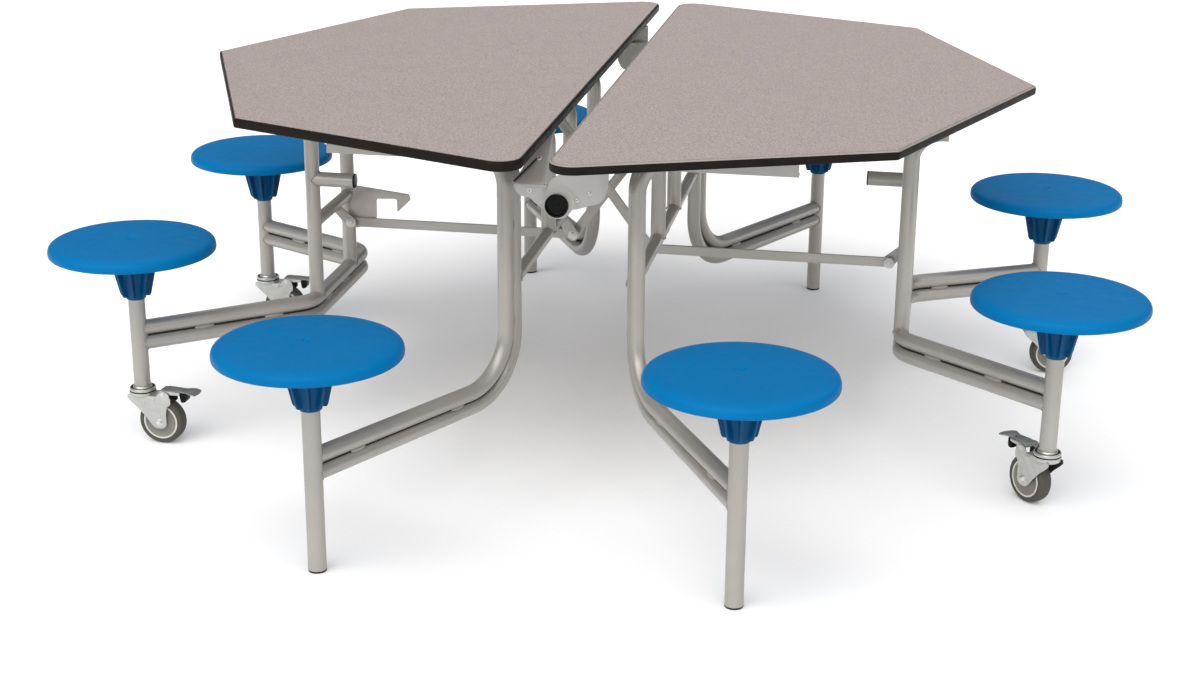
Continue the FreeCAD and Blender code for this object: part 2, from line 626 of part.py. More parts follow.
def make_inner_frame(side, place):
    tag = "_" + side
    r, wall, bend = D("tube_radius"), D("tube_wall"), D("bend_radius")
    px, py = -D("inner_post_x"), D("inner_post_y")
    pitch = D("rail_pitch")
    bx_y = D("riser_barrel_y")
    ear_a = D("riser_barrel_half") + 0.4
    for word, z, x, y, low_bend in (("upper", D("inner_rail_high"), D("riser_upper_x"), D("riser_upper_y"), D("riser_bend_upper")),
                                    ("lower", D("inner_rail_high") - pitch, D("riser_lower_x"), D("riser_lower_y"), D("riser_bend_lower"))):
        pieces = []
        for end, s in (("front", -1), ("back", 1)):
            name = "riser_%s_%s%s" % (word, end, tag)
            points = riser_points(s, z, x, y)
            post = post_core(name + "_cope", px, s * py, D("inner_post_low"), D("post_top"))
            skin = bar(name + "_skin", points, [low_bend, bend], r)
            hollow = bar(name + "_hollow", points, [low_bend, bend], r - wall)
            # the upper tube carries the far ear and the pin, the lower tube the near ear
            if word == "upper":
                ear = (ear_a, ear_a + D("ear_thick"))
                pins = (-ear_a - D("ear_thick") - 2, ear_a + D("ear_thick") + 2)
            else:
                ear = (-ear_a - D("ear_thick"), -ear_a)
                pins = None
            if s < 0:
                ear = (-ear[1], -ear[0])
                pins = (-pins[1], -pins[0]) if pins else None
            eyes = [hollow, post]
            parts = [skin]
            ears = pivot_ears(name, -D("pivot_inner_x"), s * bx_y, [ear], pins or (-1.0, 1.0))
            if pins is None:
                ears.pop()
                eyes.append(rod(name + "_eye", D("pin_radius") + D("pin_fit"), (-D("pivot_inner_x"), s * bx_y + ear[0] - 1, D("pivot_height")),
                                D("ear_thick") + 2, (0, 1, 0)))
            pieces.append(cut(name, fuse(name + "_solid", parts + ears), eyes))
        keep(group("risers_%s%s" % (word, tag), pieces), "inner_rails_%s_%s" % (word, side), place)

    tubes = [post_tube("inner_post_%s%s" % (w, tag), px, s * py, D("inner_post_low"), D("post_top"))
             for w, s in (("front", -1), ("back", 1))]
    keep(group("inner_post_pair" + tag, tubes), "inner_posts_" + side, place)

    # cross tube with two struts that bend over under the leaf, lug and bolt
    cx, cz = -D("strut_x"), D("inner_cross_height")
    cr, cw = D("cross_radius"), D("cross_wall")
    ry = D("riser_lower_y")
    skins = [rod("inner_cross_skin" + tag, cr, (cx, -ry + 8, cz), ry * 2 - 16, (0, 1, 0))]
    hollows = [rod("inner_cross_hollow" + tag, cr - cw, (cx, -ry + 7, cz), ry * 2 - 14, (0, 1, 0))]
    for word, s in (("front", -1), ("back", 1)):
        run = [(cx, s * D("strut_y"), cz), (cx, s * D("strut_y"), D("arm_height")), (-D("arm_tip_inner"), s * D("strut_y"), D("arm_height"))]
        bore = [(cx, s * D("strut_y"), cz + 14), (cx, s * D("strut_y"), D("arm_height")), (-D("arm_tip_inner") - 1, s * D("strut_y"), D("arm_height"))]
        skins.append(bar("strut_%s_skin%s" % (word, tag), run, [bend], r))
        hollows.append(bar("strut_%s_hollow%s" % (word, tag), bore, [bend], r - wall))
        skins += pivot_ears("strut_ears_%s%s" % (word, tag), -D("pivot_inner_x"), s * D("strut_y"),
                            [(-D("ear_inside") - D("ear_thick"), -D("ear_inside")), (D("ear_inside"), D("ear_inside") + D("ear_thick"))],
                            (-D("ear_inside") - D("ear_thick") - 2, D("ear_inside") + D("ear_thick") + 2))
    bx, bz = -D("inner_bolt_x"), D("inner_bolt_z")
    skins.append(flat_plate("inner_lug" + tag, lug_outline(bx, bz, cx, cz), D("lug_near"), D("lug_far")))
    skins += bolt_stack("inner_bolt" + tag, bx, bz)
    copes = [rod("strut_cope_%d%s" % (n, tag), r, (-D("riser_lower_x"), s * ry, Size.of(350.0)), 100.0, (0, 0, 1))
             for n, s in enumerate((-1, 1))]
    keep(cut("struts" + tag, fuse("struts_solid" + tag, skins), hollows + copes), "inner_struts_" + side, place)

    caps = []
    for word, s in (("front", -1), ("back", 1)):
        # a thin glide under the tube with a plug that holds it
        ro, flat, ri = D("post_radius"), D("foot_flat"), D("post_radius") - D("tube_wall") - 0.05
        cap = lathe("foot_%s%s" % (word, tag), [(0.0, 0.0), (flat, 0.0), (ro, 1.9), (ro, D("inner_post_low")), (ri, D("inner_post_low")),
                                               (ri, D("foot_plug") - 1), (ri - 1, D("foot_plug")), (0.0, D("foot_plug"))])
        cap.Placement = Placement(Vector(num(px), s * num(py), 0), Rotation())
        caps.append(cap)
    keep(group("foot_pair" + tag, caps), "foot_caps_" + side, place)


# -------------------------------------------------- tie bars, links and latch

def strap(name, length, near, far, hole_a, hole_b, height):
    """Flat bar along +X from its first hole, in the XZ plane, round ended."""
    half = height / 2
    length = Size.of(length)
    points = [(-half, -half), (length + half, -half), (length + half, half), (-half, half)]
    body = flat_plate(name, points, near, far, holes=[(0.0, 0.0, hole_a), (length, 0.0, hole_b)],
                      soft=[(half - 0.1, points)])
    return body


def make_linkage(side, place):
    length = D("lug_bolt_x") - D("inner_bolt_x")
    fit = D("bolt_radius") + D("pin_fit")
    tie = strap("tie_strap_" + side, length, D("bar_near"), D("bar_far"), D("bolt_radius") + 0.35, fit, D("bar_height"))
    tie.Placement = Placement(Vector(-num(D("lug_bolt_x")), 0, num(D("lug_bolt_z"))), Rotation())
    keep(tie, "tie_bar_" + side, place)

    dx = num(D("inner_bolt_x")) + num(D("link_end_x"))
    dz = num(D("link_end_z")) - num(D("inner_bolt_z"))
    link = strap("cross_strap_" + side, math.hypot(dx, dz), D("link_near"), D("link_far"), fit, D("bolt_radius") + 0.35, D("link_height"))
    link.Placement = Placement(Vector(-num(D("inner_bolt_x")), 0, num(D("inner_bolt_z"))),
                               Rotation(Vector(0, 1, 0), -math.degrees(math.atan2(dz, dx))))
    keep(link, "cross_link_" + side, place)


def make_latch():
    points = [(-572, 446), (-453, 432), (-449, 420), (-479, 391), (-479, 421), (-525, 419), (-526, 377), (-530, 361),
              (-570, 352), (-590, 352), (-594, 366), (-590, 380)]
    body = flat_plate("hook_plate", points, D("link_near"), D("link_far"),
                      holes=[(-D("lug_bolt_x"), D("lug_bolt_z"), D("bolt_radius") + D("pin_fit"))],
                      soft=[(5.0, [(-479, 421), (-525, 419)]), (7.0, [(-572, 446), (-590, 352)]), (3.0, [(-453, 432), (-449, 420)])])
    keep(body, "latch_hook")


# ------------------------------------------------------------------- the seats

def make_seat(node, x, y):
    """Moulded round seat with a ribbed hub whose sleeve turns on the post."""
    top, rim, skin = D("seat_top"), D("seat_radius"), D("seat_skin")
    low = D("seat_rim_low")
    bore = D("post_radius") + D("seat_fit")
    seat = lathe(node + "_turned", [
        (0.0, top - 1.2), (8.5, top - 1.2), (9.5, top), (70.0, top - 0.8), (120.0, top - 2.2), (148.0, top - 4.0),
        (157.0, top - 6.0), (162.0, top - 9.0), (rim, top - 13.5), (rim, low + 3), (rim - 1.5, low),
        (rim - 4, low), (rim - 5.5, low + 6), (rim - 9, top - 15), (rim - 20, top - 10), (120.0, top - 8.2),
        (60.0, top - 7.0), (36.0, top - 8.0), (33.0, low), (30.0, 380.0), (26.5, 355.0), (D("hub_radius"), 322.0),
        (D("hub_radius"), D("hub_low")), (bore, D("hub_low")), (bore, D("post_top") + 0.3), (0.0, D("post_top") + 0.3)])
    rib = sketch(seat, node + "_rib", "XZ_Plane")
    outline(rib, [(18.0, 312.0), (29.0, 312.0), (31.5, 318.0), (40.0, 355.0), (51.5, low), (56.0, top - 7.5), (30.0, top - 7.5), (22.0, 360.0), (17.5, 340.0)])
    fin = pad(seat, rib, D("rib_thick"), midplane=True)
    pattern = seat.newObject("PartDesign::PolarPattern", node + "_ribs")
    pattern.Originals = [fin]
    pattern.Axis = (rib, ["V_Axis"])
    pattern.Angle = 360.0
    pattern.Occurrences = 8
    seat.Tip = pattern
    seat.Placement = Placement(Vector(x, y, 0), Rotation(Vector(0, 0, 1), 11.0))
    keep(seat, node)


# ----------------------------------------------------------------- the castors

def make_castor(where, x, y, heading):
    """Swivel castor with a braked wheel; local +X is where the wheel trails."""
    place = Placement(Vector(x, y, 0), Rotation(Vector(0, 0, 1), heading))
    tag = "_" + where
    axle, wr = D("trail"), D("wheel_radius")
    inside, gauge = D("fork_inside"), D("fork_sheet")
    low, high = D("crown_low"), D("crown_high")
    pvx, pvz = D("pedal_pivot_x"), D("pedal_pivot_z")
    cheek = [(-22.0, high), (-24.0, 97.0), (-12.0, 86.0), (25.0, 42.0), (32.0, 36.5), (50.0, 36.5), (56.0, 42.0), (66.0, 92.0),
             (66.0, high), (pvx + 8, pvz), (pvx + 6, pvz + 6), (pvx - 6, pvz + 6), (pvx - 8, pvz), (pvx - 12, high)]
    solids = []
    for word, s in (("a", -1), ("b", 1)):
        near, far = (-inside - gauge, -inside) if s < 0 else (inside, inside + gauge)
        solids.append(flat_plate("cheek_" + word + tag, cheek, near, far,
                                 holes=[(pvx, pvz, 3.06)]))
    solids.append(box("crown" + tag, (Size.of(-24.0), Size.of(36.0)), (-inside - 0.5, inside + 0.5), (low, high)))
    solids.append(rod("axle_bolt" + tag, D("axle_radius"), (axle, -inside - gauge - 6, wr), inside * 2 + gauge * 2 + 12, (0, 1, 0)))
    solids.append(rod("axle_head" + tag, 7.5, (axle, -inside - gauge - 4.5, wr), 4.5, (0, 1, 0)))
    solids.append(rod("axle_nut" + tag, 7.5, (axle, inside + gauge, wr), 5.0, (0, 1, 0)))
    collar = lathe("collar" + tag, [(0.0, high - 1), (25.0, high - 1), (D("collar_radius"), high + 2), (D("collar_radius"), high + 8),
                                    (24.0, high + 11), (19.0, D("collar_high")), (D("post_radius") - D("tube_wall") - D("stem_fit"), D("collar_high")),
                                    (D("post_radius") - D("tube_wall") - D("stem_fit"), 160.0), (11.0, 162.0), (0.0, 162.0)])
    solids.append(collar)
    fork = fuse("fork" + tag, solids)
    keep(fork, "castor_fork_" + where, place)

    half = D("wheel_half")
    tyre = lathe("tyre_turned" + tag, [(37.0, -half + 1.5), (41.0, -half + 0.5), (44.0, -half + 1.5), (46.4, -half + 5), (wr, -half + 9),
                                       (wr, half - 9), (46.4, half - 5), (44.0, half - 1.5), (41.0, half - 0.5), (37.0, half - 1.5)])
    turn = Placement(Vector(num(axle), 0, num(wr)), Rotation(Vector(1, 0, 0), 90.0))
    tyre.Placement = turn
    keep(tyre, "castor_tyre_" + where, place)
    core = lathe("core_turned" + tag, [(D("axle_radius") + 0.05, -16.8), (11.0, -16.8), (13.0, -15.0), (14.0, -10.0), (30.0, -8.0),
                                       (34.0, -12.5), (36.95, -13.4), (36.95, 13.4), (34.0, 12.5), (30.0, 8.0), (14.0, 10.0),
                                       (13.0, 15.0), (11.0, 16.8), (D("axle_radius") + 0.05, 16.8)])
    core.Placement = turn
    keep(core, "castor_wheel_core_" + where, place)

    reach = D("pedal_reach")
    lever = [
        flat_plate("pedal_plate" + tag, [(43.0, 114.0), (46.0, 117.0), (105.0, 117.5), (reach, 113.5), (reach, 110.5), (104.0, 114.5), (58.0, 114.0), (56.0, 105.0), (49.0, 105.0)],
                   -16.5, 16.5, holes=[]),
        rod("pedal_pin" + tag, 3.0, (pvx, -inside - gauge - 1.5, pvz), inside * 2 + gauge * 2 + 3, (0, 1, 0)),
        box("pedal_pad" + tag, (Size.of(88.0), Size.of(99.0)), (Size.of(-12.0), Size.of(12.0)), (Size.of(92.0), Size.of(115.0))),
    ]
    keep(fuse("pedal" + tag, lever), "castor_pedal_" + where, place)


# --------------------------------------------------------------- build it all

for side, place in SIDES:
    make_top(side, place)
    make_underframe(side, place)
    make_hinge_plates(side, place)
    make_castor_frame(side, place)
    make_inner_frame(side, place)
    make_linkage(side, place)
make_shaft()
make_latch()

OX, OY = num(D("outer_post_x")), num(D("outer_post_y"))
IX, IY = num(D("inner_post_x")), num(D("inner_post_y"))
for name, sx, sy in (("left_front", -1, -1), ("left_back", -1, 1), ("right_front", 1, -1), ("right_back", 1, 1)):
    make_seat("seat_outer_" + name, sx * OX, sy * OY)
    make_seat("seat_inner_" + name, sx * IX, sy * IY)
for name, sx, sy, heading in (("left_front", -1, -1, -3.5), ("left_back", -1, 1, 0.0), ("right_front", 1, -1, 129.0),
                              ("right_back", 1, 1, 10.0)):
    make_castor(name, sx * OX, sy * OY, heading)

doc.recompute()

for obj in doc.Objects:
    if "Invalid" in obj.State or "Error" in obj.State:
        raise RuntimeError("%s (%s) did not build: %s" % (obj.Name, obj.Label, obj.State))
for node, obj in NODES.items():
    shape = obj.Shape
    if shape.isNull() or not shape.isValid() or not shape.Solids:
        raise RuntimeError(node + " has no valid solid")

total = FreeCAD.BoundBox()
for node in sorted(NODES):
    shape = NODES[node].Shape
    total.add(shape.BoundBox)
    shape.exportStep("parts/%s.step" % node)
    print("%-28s solids %2d  volume %10.0f" % (node, len(shape.Solids), shape.Volume))
print("nodes", len(NODES))
print("box", [round(v, 2) for v in (total.XMin, total.XMax, total.YMin, total.YMax, total.ZMin, total.ZMax)])
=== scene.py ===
import math
import random

import bmesh
import bpy
from mathutils import Matrix, Vector


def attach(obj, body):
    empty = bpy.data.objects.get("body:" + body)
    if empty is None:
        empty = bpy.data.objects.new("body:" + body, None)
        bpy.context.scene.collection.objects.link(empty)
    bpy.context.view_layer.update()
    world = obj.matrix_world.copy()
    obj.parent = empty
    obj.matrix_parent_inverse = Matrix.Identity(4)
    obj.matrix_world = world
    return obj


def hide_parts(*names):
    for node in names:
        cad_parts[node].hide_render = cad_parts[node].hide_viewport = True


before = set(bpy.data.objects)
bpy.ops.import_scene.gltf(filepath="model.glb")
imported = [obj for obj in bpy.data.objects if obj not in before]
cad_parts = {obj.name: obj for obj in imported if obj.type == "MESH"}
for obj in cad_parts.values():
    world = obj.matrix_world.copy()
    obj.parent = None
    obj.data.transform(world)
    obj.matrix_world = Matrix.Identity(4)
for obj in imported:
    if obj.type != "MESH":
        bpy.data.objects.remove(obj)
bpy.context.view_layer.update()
MM = 0.001
rng = random.Random(7)

# ------------------------------------------------------------------ materials


def nodes_of(name):
    mat = bpy.data.materials.new(name)
    mat.use_nodes = True
    tree = mat.node_tree
    tree.nodes.clear()
    out = tree.nodes.new("ShaderNodeOutputMaterial")
    shader = tree.nodes.new("ShaderNodeBsdfPrincipled")
    tree.links.new(shader.outputs["BSDF"], out.inputs["Surface"])
    coord = tree.nodes.new("ShaderNodeTexCoord")
    return mat, tree, shader, coord.outputs["Object"]


def noise(tree, coord, scale, detail=2.0, rough=0.5, stretch=None):
    node = tree.nodes.new("ShaderNodeTexNoise")
    node.inputs["Scale"].default_value = scale
    node.inputs["Detail"].default_value = detail
    node.inputs["Roughness"].default_value = rough
    if stretch:
        mapping = tree.nodes.new("ShaderNodeMapping")
        mapping.inputs["Scale"].default_value = stretch
        tree.links.new(coord, mapping.inputs["Vector"])
        coord = mapping.outputs["Vector"]
    tree.links.new(coord, node.inputs["Vector"])
    return node.outputs["Fac"]


def ramp(tree, fac, stops, mode="LINEAR"):
    node = tree.nodes.new("ShaderNodeValToRGB")
    node.color_ramp.interpolation = mode
    while len(node.color_ramp.elements) > 1:
        node.color_ramp.elements.remove(node.color_ramp.elements[-1])
    first = True
    for place, colour in stops:
        element = node.color_ramp.elements[0] if first else node.color_ramp.elements.new(place)
        element.position = place
        element.color = (*colour, 1.0) if len(colour) == 3 else colour
        first = False
    tree.links.new(fac, node.inputs["Fac"])
    return node.outputs["Color"]


def mix(tree, fac, a, b, kind="MIX"):
    node = tree.nodes.new("ShaderNodeMix")
    node.data_type = "RGBA"
    node.blend_type = kind
    for value, socket in ((fac, node.inputs[0]), (a, node.inputs[6]), (b, node.inputs[7])):
        if hasattr(value, "is_linked") or isinstance(value, bpy.types.NodeSocket):
            tree.links.new(value, socket)
        elif isinstance(value, (int, float)):
            socket.default_value = value
        else:
            socket.default_value = (*value, 1.0)
    return node.outputs[2]


def spread(tree, fac, low, high):
    node = tree.nodes.new("ShaderNodeMapRange")
    node.inputs["From Min"].default_value = 0.3
    node.inputs["From Max"].default_value = 0.7
    node.inputs["To Min"].default_value = low
    node.inputs["To Max"].default_value = high
    tree.links.new(fac, node.inputs["Value"])
    return node.outputs["Result"]


def bump(tree, shader, height, strength, distance):
    node = tree.nodes.new("ShaderNodeBump")
    node.inputs["Strength"].default_value = strength
    node.inputs["Distance"].default_value = distance
    tree.links.new(height, node.inputs["Height"])
    tree.links.new(node.outputs["Normal"], shader.inputs["Normal"])


def painted(name, low, high, metallic, rough, grit=0.25):
    """Powder-coated steel: soft colour drift, a fine orange peel and uneven gloss."""
    mat, tree, shader, coord = nodes_of(name)
    drift = noise(tree, coord, 9.0, 3.0)
    fine = noise(tree, coord, 900.0, 2.0)
    grain = mix(tree, drift, low, high)
    tone = ramp(tree, fine, [(0.30, (0.90, 0.90, 0.90)), (0.55, (1.0, 1.0, 1.0)), (0.75, (1.06, 1.06, 1.06))])
    tree.links.new(mix(tree, 1.0, grain, tone, "MULTIPLY"), shader.inputs["Base Color"])
    tree.links.new(spread(tree, noise(tree, coord, 26.0, 4.0), rough - 0.05, rough + 0.07), shader.inputs["Roughness"])
    shader.inputs["Metallic"].default_value = metallic
    bump(tree, shader, noise(tree, coord, 650.0, 1.0), grit, 0.00008)
    return mat


def plastic(name, low, high, rough, scale=700.0, grit=0.12, specular=0.5, drift_scale=7.0):
    """Moulded plastic: fine spark texture and faint flow shading."""
    mat, tree, shader, coord = nodes_of(name)
    tree.links.new(mix(tree, noise(tree, coord, drift_scale, 3.0), low, high), shader.inputs["Base Color"])
    tree.links.new(spread(tree, noise(tree, coord, 40.0, 4.0), rough - 0.04, rough + 0.06), shader.inputs["Roughness"])
    shader.inputs["Specular IOR Level"].default_value = specular
    bump(tree, shader, noise(tree, coord, scale, 2.0), grit, 0.00006)
    return mat


def laminate():
    """Grey-mauve laminate with a fine dark and light fleck."""
    mat, tree, shader, coord = nodes_of("top_laminate")
    soft = ramp(tree, noise(tree, coord, 310.0, 3.0, 0.6),
                [(0.28, (0.224, 0.182, 0.175)), (0.44, (0.333, 0.282, 0.270)), (0.60, (0.420, 0.360, 0.347)), (0.74, (0.567, 0.490, 0.475))])
    fleck = ramp(tree, noise(tree, coord, 640.0, 2.0, 0.6),
                 [(0.35, (0.50, 0.46, 0.45)), (0.43, (0.94, 0.94, 0.94)), (0.57, (1.0, 1.0, 1.0)), (0.66, (1.36, 1.36, 1.36))])
    spots = tree.nodes.new("ShaderNodeTexVoronoi")
    spots.feature = "F1"
    spots.inputs["Scale"].default_value = 420.0
    tree.links.new(coord, spots.inputs["Vector"])
    tone = ramp(tree, spots.outputs["Distance"], [(0.0, (0.74, 0.72, 0.70)), (0.16, (0.97, 0.97, 0.97)), (0.3, (1.0, 1.0, 1.0))])
    mixed = mix(tree, 1.0, soft, fleck, "MULTIPLY")
    tree.links.new(mix(tree, 0.8, mixed, tone, "MULTIPLY"), shader.inputs["Base Color"])
    tree.links.new(spread(tree, noise(tree, coord, 14.0, 4.0), 0.40, 0.50), shader.inputs["Roughness"])
    shader.inputs["Specular IOR Level"].default_value = 0.25
    bump(tree, shader, noise(tree, coord, 500.0, 2.0), 0.15, 0.00005)
    return mat


def zinc_plate(name, tint):
    mat, tree, shader, coord = nodes_of(name)
    base = ramp(tree, noise(tree, coord, 70.0, 5.0, 0.6), [(0.3, tuple(c * 0.86 for c in tint)), (0.6, tint), (0.8, tuple(min(1.0, c * 1.08) for c in tint))])
    tree.links.new(base, shader.inputs["Base Color"])
    tree.links.new(spread(tree, noise(tree, coord, 120.0, 4.0), 0.26, 0.42), shader.inputs["Roughness"])
    shader.inputs["Metallic"].default_value = 0.82
    bump(tree, shader, noise(tree, coord, 800.0, 2.0), 0.12, 0.00005)
    return mat


FRAME = painted("frame_powder_coat", (0.352, 0.334, 0.309), (0.424, 0.405, 0.378), 0.40, 0.33)
PLATE = painted("plate_powder_coat", (0.388, 0.376, 0.355), (0.462, 0.450, 0.428), 0.36, 0.32, 0.35)
WELD = painted("weld_powder_coat", (0.270, 0.254, 0.233), (0.345, 0.326, 0.303), 0.16, 0.44, 0.6)
STEEL = zinc_plate("fastener_steel", (0.66, 0.65, 0.63))
ZINC = zinc_plate("castor_zinc", (0.53, 0.535, 0.510))
PEDAL = zinc_plate("pedal_zinc", (0.30, 0.315, 0.290))
# near-black painted shade, laid where only shade falls: slots between tubes, castor grooves and fork insides, a cut
# sheet edge
PAINTED_SHADE = plastic("painted_shade_dark", (0.020, 0.019, 0.016), (0.034, 0.032, 0.028), 0.55, 400.0, 0.2, 0.1, 60.0)
LAMINATE = laminate()
BACKER = plastic("leaf_backing", (0.36, 0.33, 0.31), (0.42, 0.39, 0.37), 0.62, 300.0, 0.2, 0.3)
EDGE = plastic("edge_band_black", (0.0080, 0.0060, 0.0048), (0.015, 0.0118, 0.0098), 0.46, 500.0, 0.2, 0.07, 30.0)
# pale brown strip: the exposed laminate edge, with a painted highlight along the top of the edge band
EDGE_LINE_AND_HIGHLIGHT = plastic("laminate_edge_and_painted_highlight", (0.255, 0.225, 0.205), (0.320, 0.285, 0.262), 0.5, 600.0, 0.2, 0.2, 60.0)
SEAM = plastic("laminate_joint", (0.085, 0.072, 0.062), (0.125, 0.108, 0.095), 0.5, 600.0, 0.2, 0.2, 60.0)
SEAT = plastic("seat_blue", (0.0, 0.128, 0.338), (0.0, 0.148, 0.375), 0.40, 620.0, 0.10, 0.05, 5.0)
# the hub is the seat's own blue, darkened as painted shade under the seat
SHADED_HUB_BLUE = plastic("seat_hub_blue", (0.0, 0.052, 0.150), (0.0, 0.078, 0.195), 0.34, 500.0, 0.14, 0.14, 20.0)
BLACK = plastic("black_plastic", (0.0035, 0.0035, 0.0035), (0.008, 0.0075, 0.0075), 0.20, 450.0, 0.10, 0.09, 40.0)
FOOT = plastic("foot_dark", (0.008, 0.007, 0.006), (0.015, 0.013, 0.011), 0.5, 400.0, 0.25, 0.05, 40.0)
TYRE = plastic("tyre_grey", (0.060, 0.056, 0.047), (0.092, 0.086, 0.074), 0.58, 380.0, 0.35, 0.18, 60.0)
CORE = plastic("wheel_core_grey", (0.185, 0.178, 0.154), (0.238, 0.230, 0.200), 0.48, 420.0, 0.2, 0.25, 60.0)
RING = plastic("wheel_ring_pale", (0.56, 0.545, 0.52), (0.66, 0.645, 0.62), 0.42, 420.0, 0.15, 0.45, 60.0)

# --------------------------------------------------------------- mesh helpers

IDENT = Matrix.Identity(4)
TURN = Matrix.Rotation(math.pi, 4, "Z")
SIDE = {"left": IDENT, "right": TURN}


class Look:
    """Collects the faces of one piece, in millimetres."""

    def __init__(self):
        self.verts, self.faces, self.marks, self.mats = [], [], [], []

    def add(self, verts, faces, mat, where=IDENT):
        if mat not in self.mats:
            self.mats.append(mat)
        mark = self.mats.index(mat)
        base = len(self.verts)
        flip = where.determinant() < 0
        self.verts.extend([tuple(where @ Vector(v)) for v in verts])
        for face in faces:
            ids = [base + i for i in face]
            self.faces.append(ids[::-1] if flip else ids)
            self.marks.append(mark)

    def finish(self, name, body, nodes, slot, sharp=34.0):
        mesh = bpy.data.meshes.new(name)
        mesh.from_pydata([(x * MM, y * MM, z * MM) for x, y, z in self.verts], [], self.faces)
        for mat in self.mats:
            mesh.materials.append(mat)
        for poly, mark in zip(mesh.polygons, self.marks):
            poly.material_index = mark
            poly.use_smooth = True
        work = bmesh.new()
        work.from_mesh(mesh)
        bmesh.ops.recalc_face_normals(work, faces=work.faces)
        work.to_mesh(mesh)
        work.free()
        mesh.set_sharp_from_angle(angle=math.radians(sharp))
        mesh.update()
        obj = bpy.data.objects.new(name, mesh)
        bpy.context.scene.collection.objects.link(obj)
        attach(obj, body)
        if nodes:
            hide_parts(*nodes)
        return obj


def trace(points, radii, step=5.0):
    """Points and directions along straight runs joined by tangent arcs."""
    points = [Vector(p) for p in points]
    out = []
    start = points[0]
    direction = (points[1] - points[0]).normalized()
    out.append((start.copy(), direction.copy()))
    for index in range(1, len(points) - 1):
        corner = points[index]
        back = (points[index - 1] - corner).normalized()
        onward = (points[index + 1] - corner).normalized()
        turn = math.pi - back.angle(onward)
        radius = radii[index - 1]
        reach = radius * math.tan(turn / 2)
        first = corner + back * reach
        middle = (back + onward).normalized()
        centre = corner + middle * (radius / math.cos(turn / 2))
        spoke = first - centre
        axis = (-back).cross(onward).normalized()
        count = max(3, int(math.degrees(turn) / step))
        for n in range(count + 1):
            rot = Matrix.Rotation(turn * n / count, 3, axis)
            out.append((centre + rot @ spoke, (rot @ (-back)).normalized()))
    out.append((points[-1].copy(), (points[-1] - points[-2]).normalized()))
    cleaned = [out[0]]
    for item in out[1:]:
        if (item[0] - cleaned[-1][0]).length > 0.02:
            cleaned.append(item)
    return cleaned


def ring_sweep(line, radius_at, around=36, closed=False, up=None):
    rings = []
    tangent = line[0][1]
    normal = Vector(up) if up else tangent.orthogonal()
    normal = (normal - tangent * normal.dot(tangent)).normalized()
    for index, (point, direction) in enumerate(line):
        turn = tangent.rotation_difference(direction)
        normal = turn @ normal
        normal = (normal - direction * normal.dot(direction)).normalized()
        tangent = direction
        side = direction.cross(normal)
        radius = radius_at(index)
        rings.append([point + (normal * math.cos(a) + side * math.sin(a)) * radius
                      for a in (2 * math.pi * k / around for k in range(around))])
    return rings


def bridge(base_a, base_b, count):
    return [[base_a + k, base_a + (k + 1) % count, base_b + (k + 1) % count, base_b + k] for k in range(count)]


def tube(look, points, radii, radius, mat, where=IDENT, wall=2.0, around=36, ends=(True, True)):
    """Bent round tube with wall thickness showing at its ends."""
    line = trace(points, radii)
    rings = ring_sweep(line, lambda i: radius, around)
    verts, faces = [], []
    for item in rings:
        verts.extend(item)
    count = len(rings)
    for n in range(count - 1):
        faces.extend(bridge(n * around, (n + 1) * around, around))
    for end, sign, number in ((0, 1, 0), (count - 1, -1, 1)):
        point, direction = line[end]
        outer = end * around
        if ends[number]:
            lip = len(verts)
            verts.extend([point + (v - point) * ((radius - wall) / radius) for v in rings[end]])
            deep = len(verts)
            verts.extend([point + direction * (sign * 14.0) + (v - point) * ((radius - wall) / radius) for v in rings[end]])
            hub = len(verts)
            verts.append(point + direction * (sign * 14.0))
            faces.extend(bridge(outer, lip, around))
            faces.extend(bridge(lip, deep, around))
            faces.extend([[deep + k, deep + (k + 1) % around, hub] for k in range(around)])
        else:
            hub = len(verts)
            verts.append(point.copy())
            faces.extend([[outer + k, outer + (k + 1) % around, hub] for k in range(around)])
    look.add(verts, faces, mat, where)


def bead(look, loop, where=IDENT, size=2.0, mat=None, closed=True):
    """Weld bead with ripples along a line of points."""
    pts = [Vector(p) for p in loop]
    count = len(pts)
    line = []
    for n in range(count):
        a = pts[(n - 1) % count] if closed or n > 0 else pts[0]
        b = pts[(n + 1) % count] if closed or n < count - 1 else pts[-1]
        line.append((pts[n], (b - a).normalized()))
    sizes = [size * (0.86 + 0.22 * math.sin(n * 2.3) ** 2 + rng.uniform(-0.06, 0.06)) for n in range(count)]
    around = 8
    rings = ring_sweep(line, lambda i: sizes[i], around)
    verts, faces = [], []
    for item in rings:
        verts.extend(item)
    for n in range(count - 1):
        faces.extend(bridge(n * around, (n + 1) * around, around))
    if closed:
        # the last ring joins the first at the nearest corner, so the bead doesn't twist
        first, last = rings[0], rings[-1]
        shift = min(range(around), key=lambda k: (first[k] - last[0]).length)
        base = (count - 1) * around
        faces.extend([[base + k, base + (k + 1) % around, (k + 1 + shift) % around, (k + shift) % around] for k in range(around)])
    else:
        faces.append(list(range(around)))
        faces.append([(count - 1) * around + k for k in range(around)][::-1])
    look.add(verts, faces, mat or WELD, where)


def saddle(axis_point, axis_dir, big, origin, direction, small, count=44):
    """Where a round tube running along direction meets the side of another tube."""
    a = Vector(axis_dir).normalized()
    p = Vector(axis_point)
    d = Vector(direction).normalized()
    u = d.orthogonal().normalized()
    v = d.cross(u)
    loop = []
    for k in range(count):
        angle = 2 * math.pi * k / count
        o = Vector(origin) + (u * math.cos(angle) + v * math.sin(angle)) * small
        w = o - p
        wp = w - a * w.dot(a)
        dp = d - a * d.dot(a)
        qa, qb, qc = dp.dot(dp), 2 * wp.dot(dp), wp.dot(wp) - big * big
        disc = max(qb * qb - 4 * qa * qc, 0.0)
        t = (-qb - math.sqrt(disc)) / (2 * qa)
        loop.append(o + d * t)
    return loop


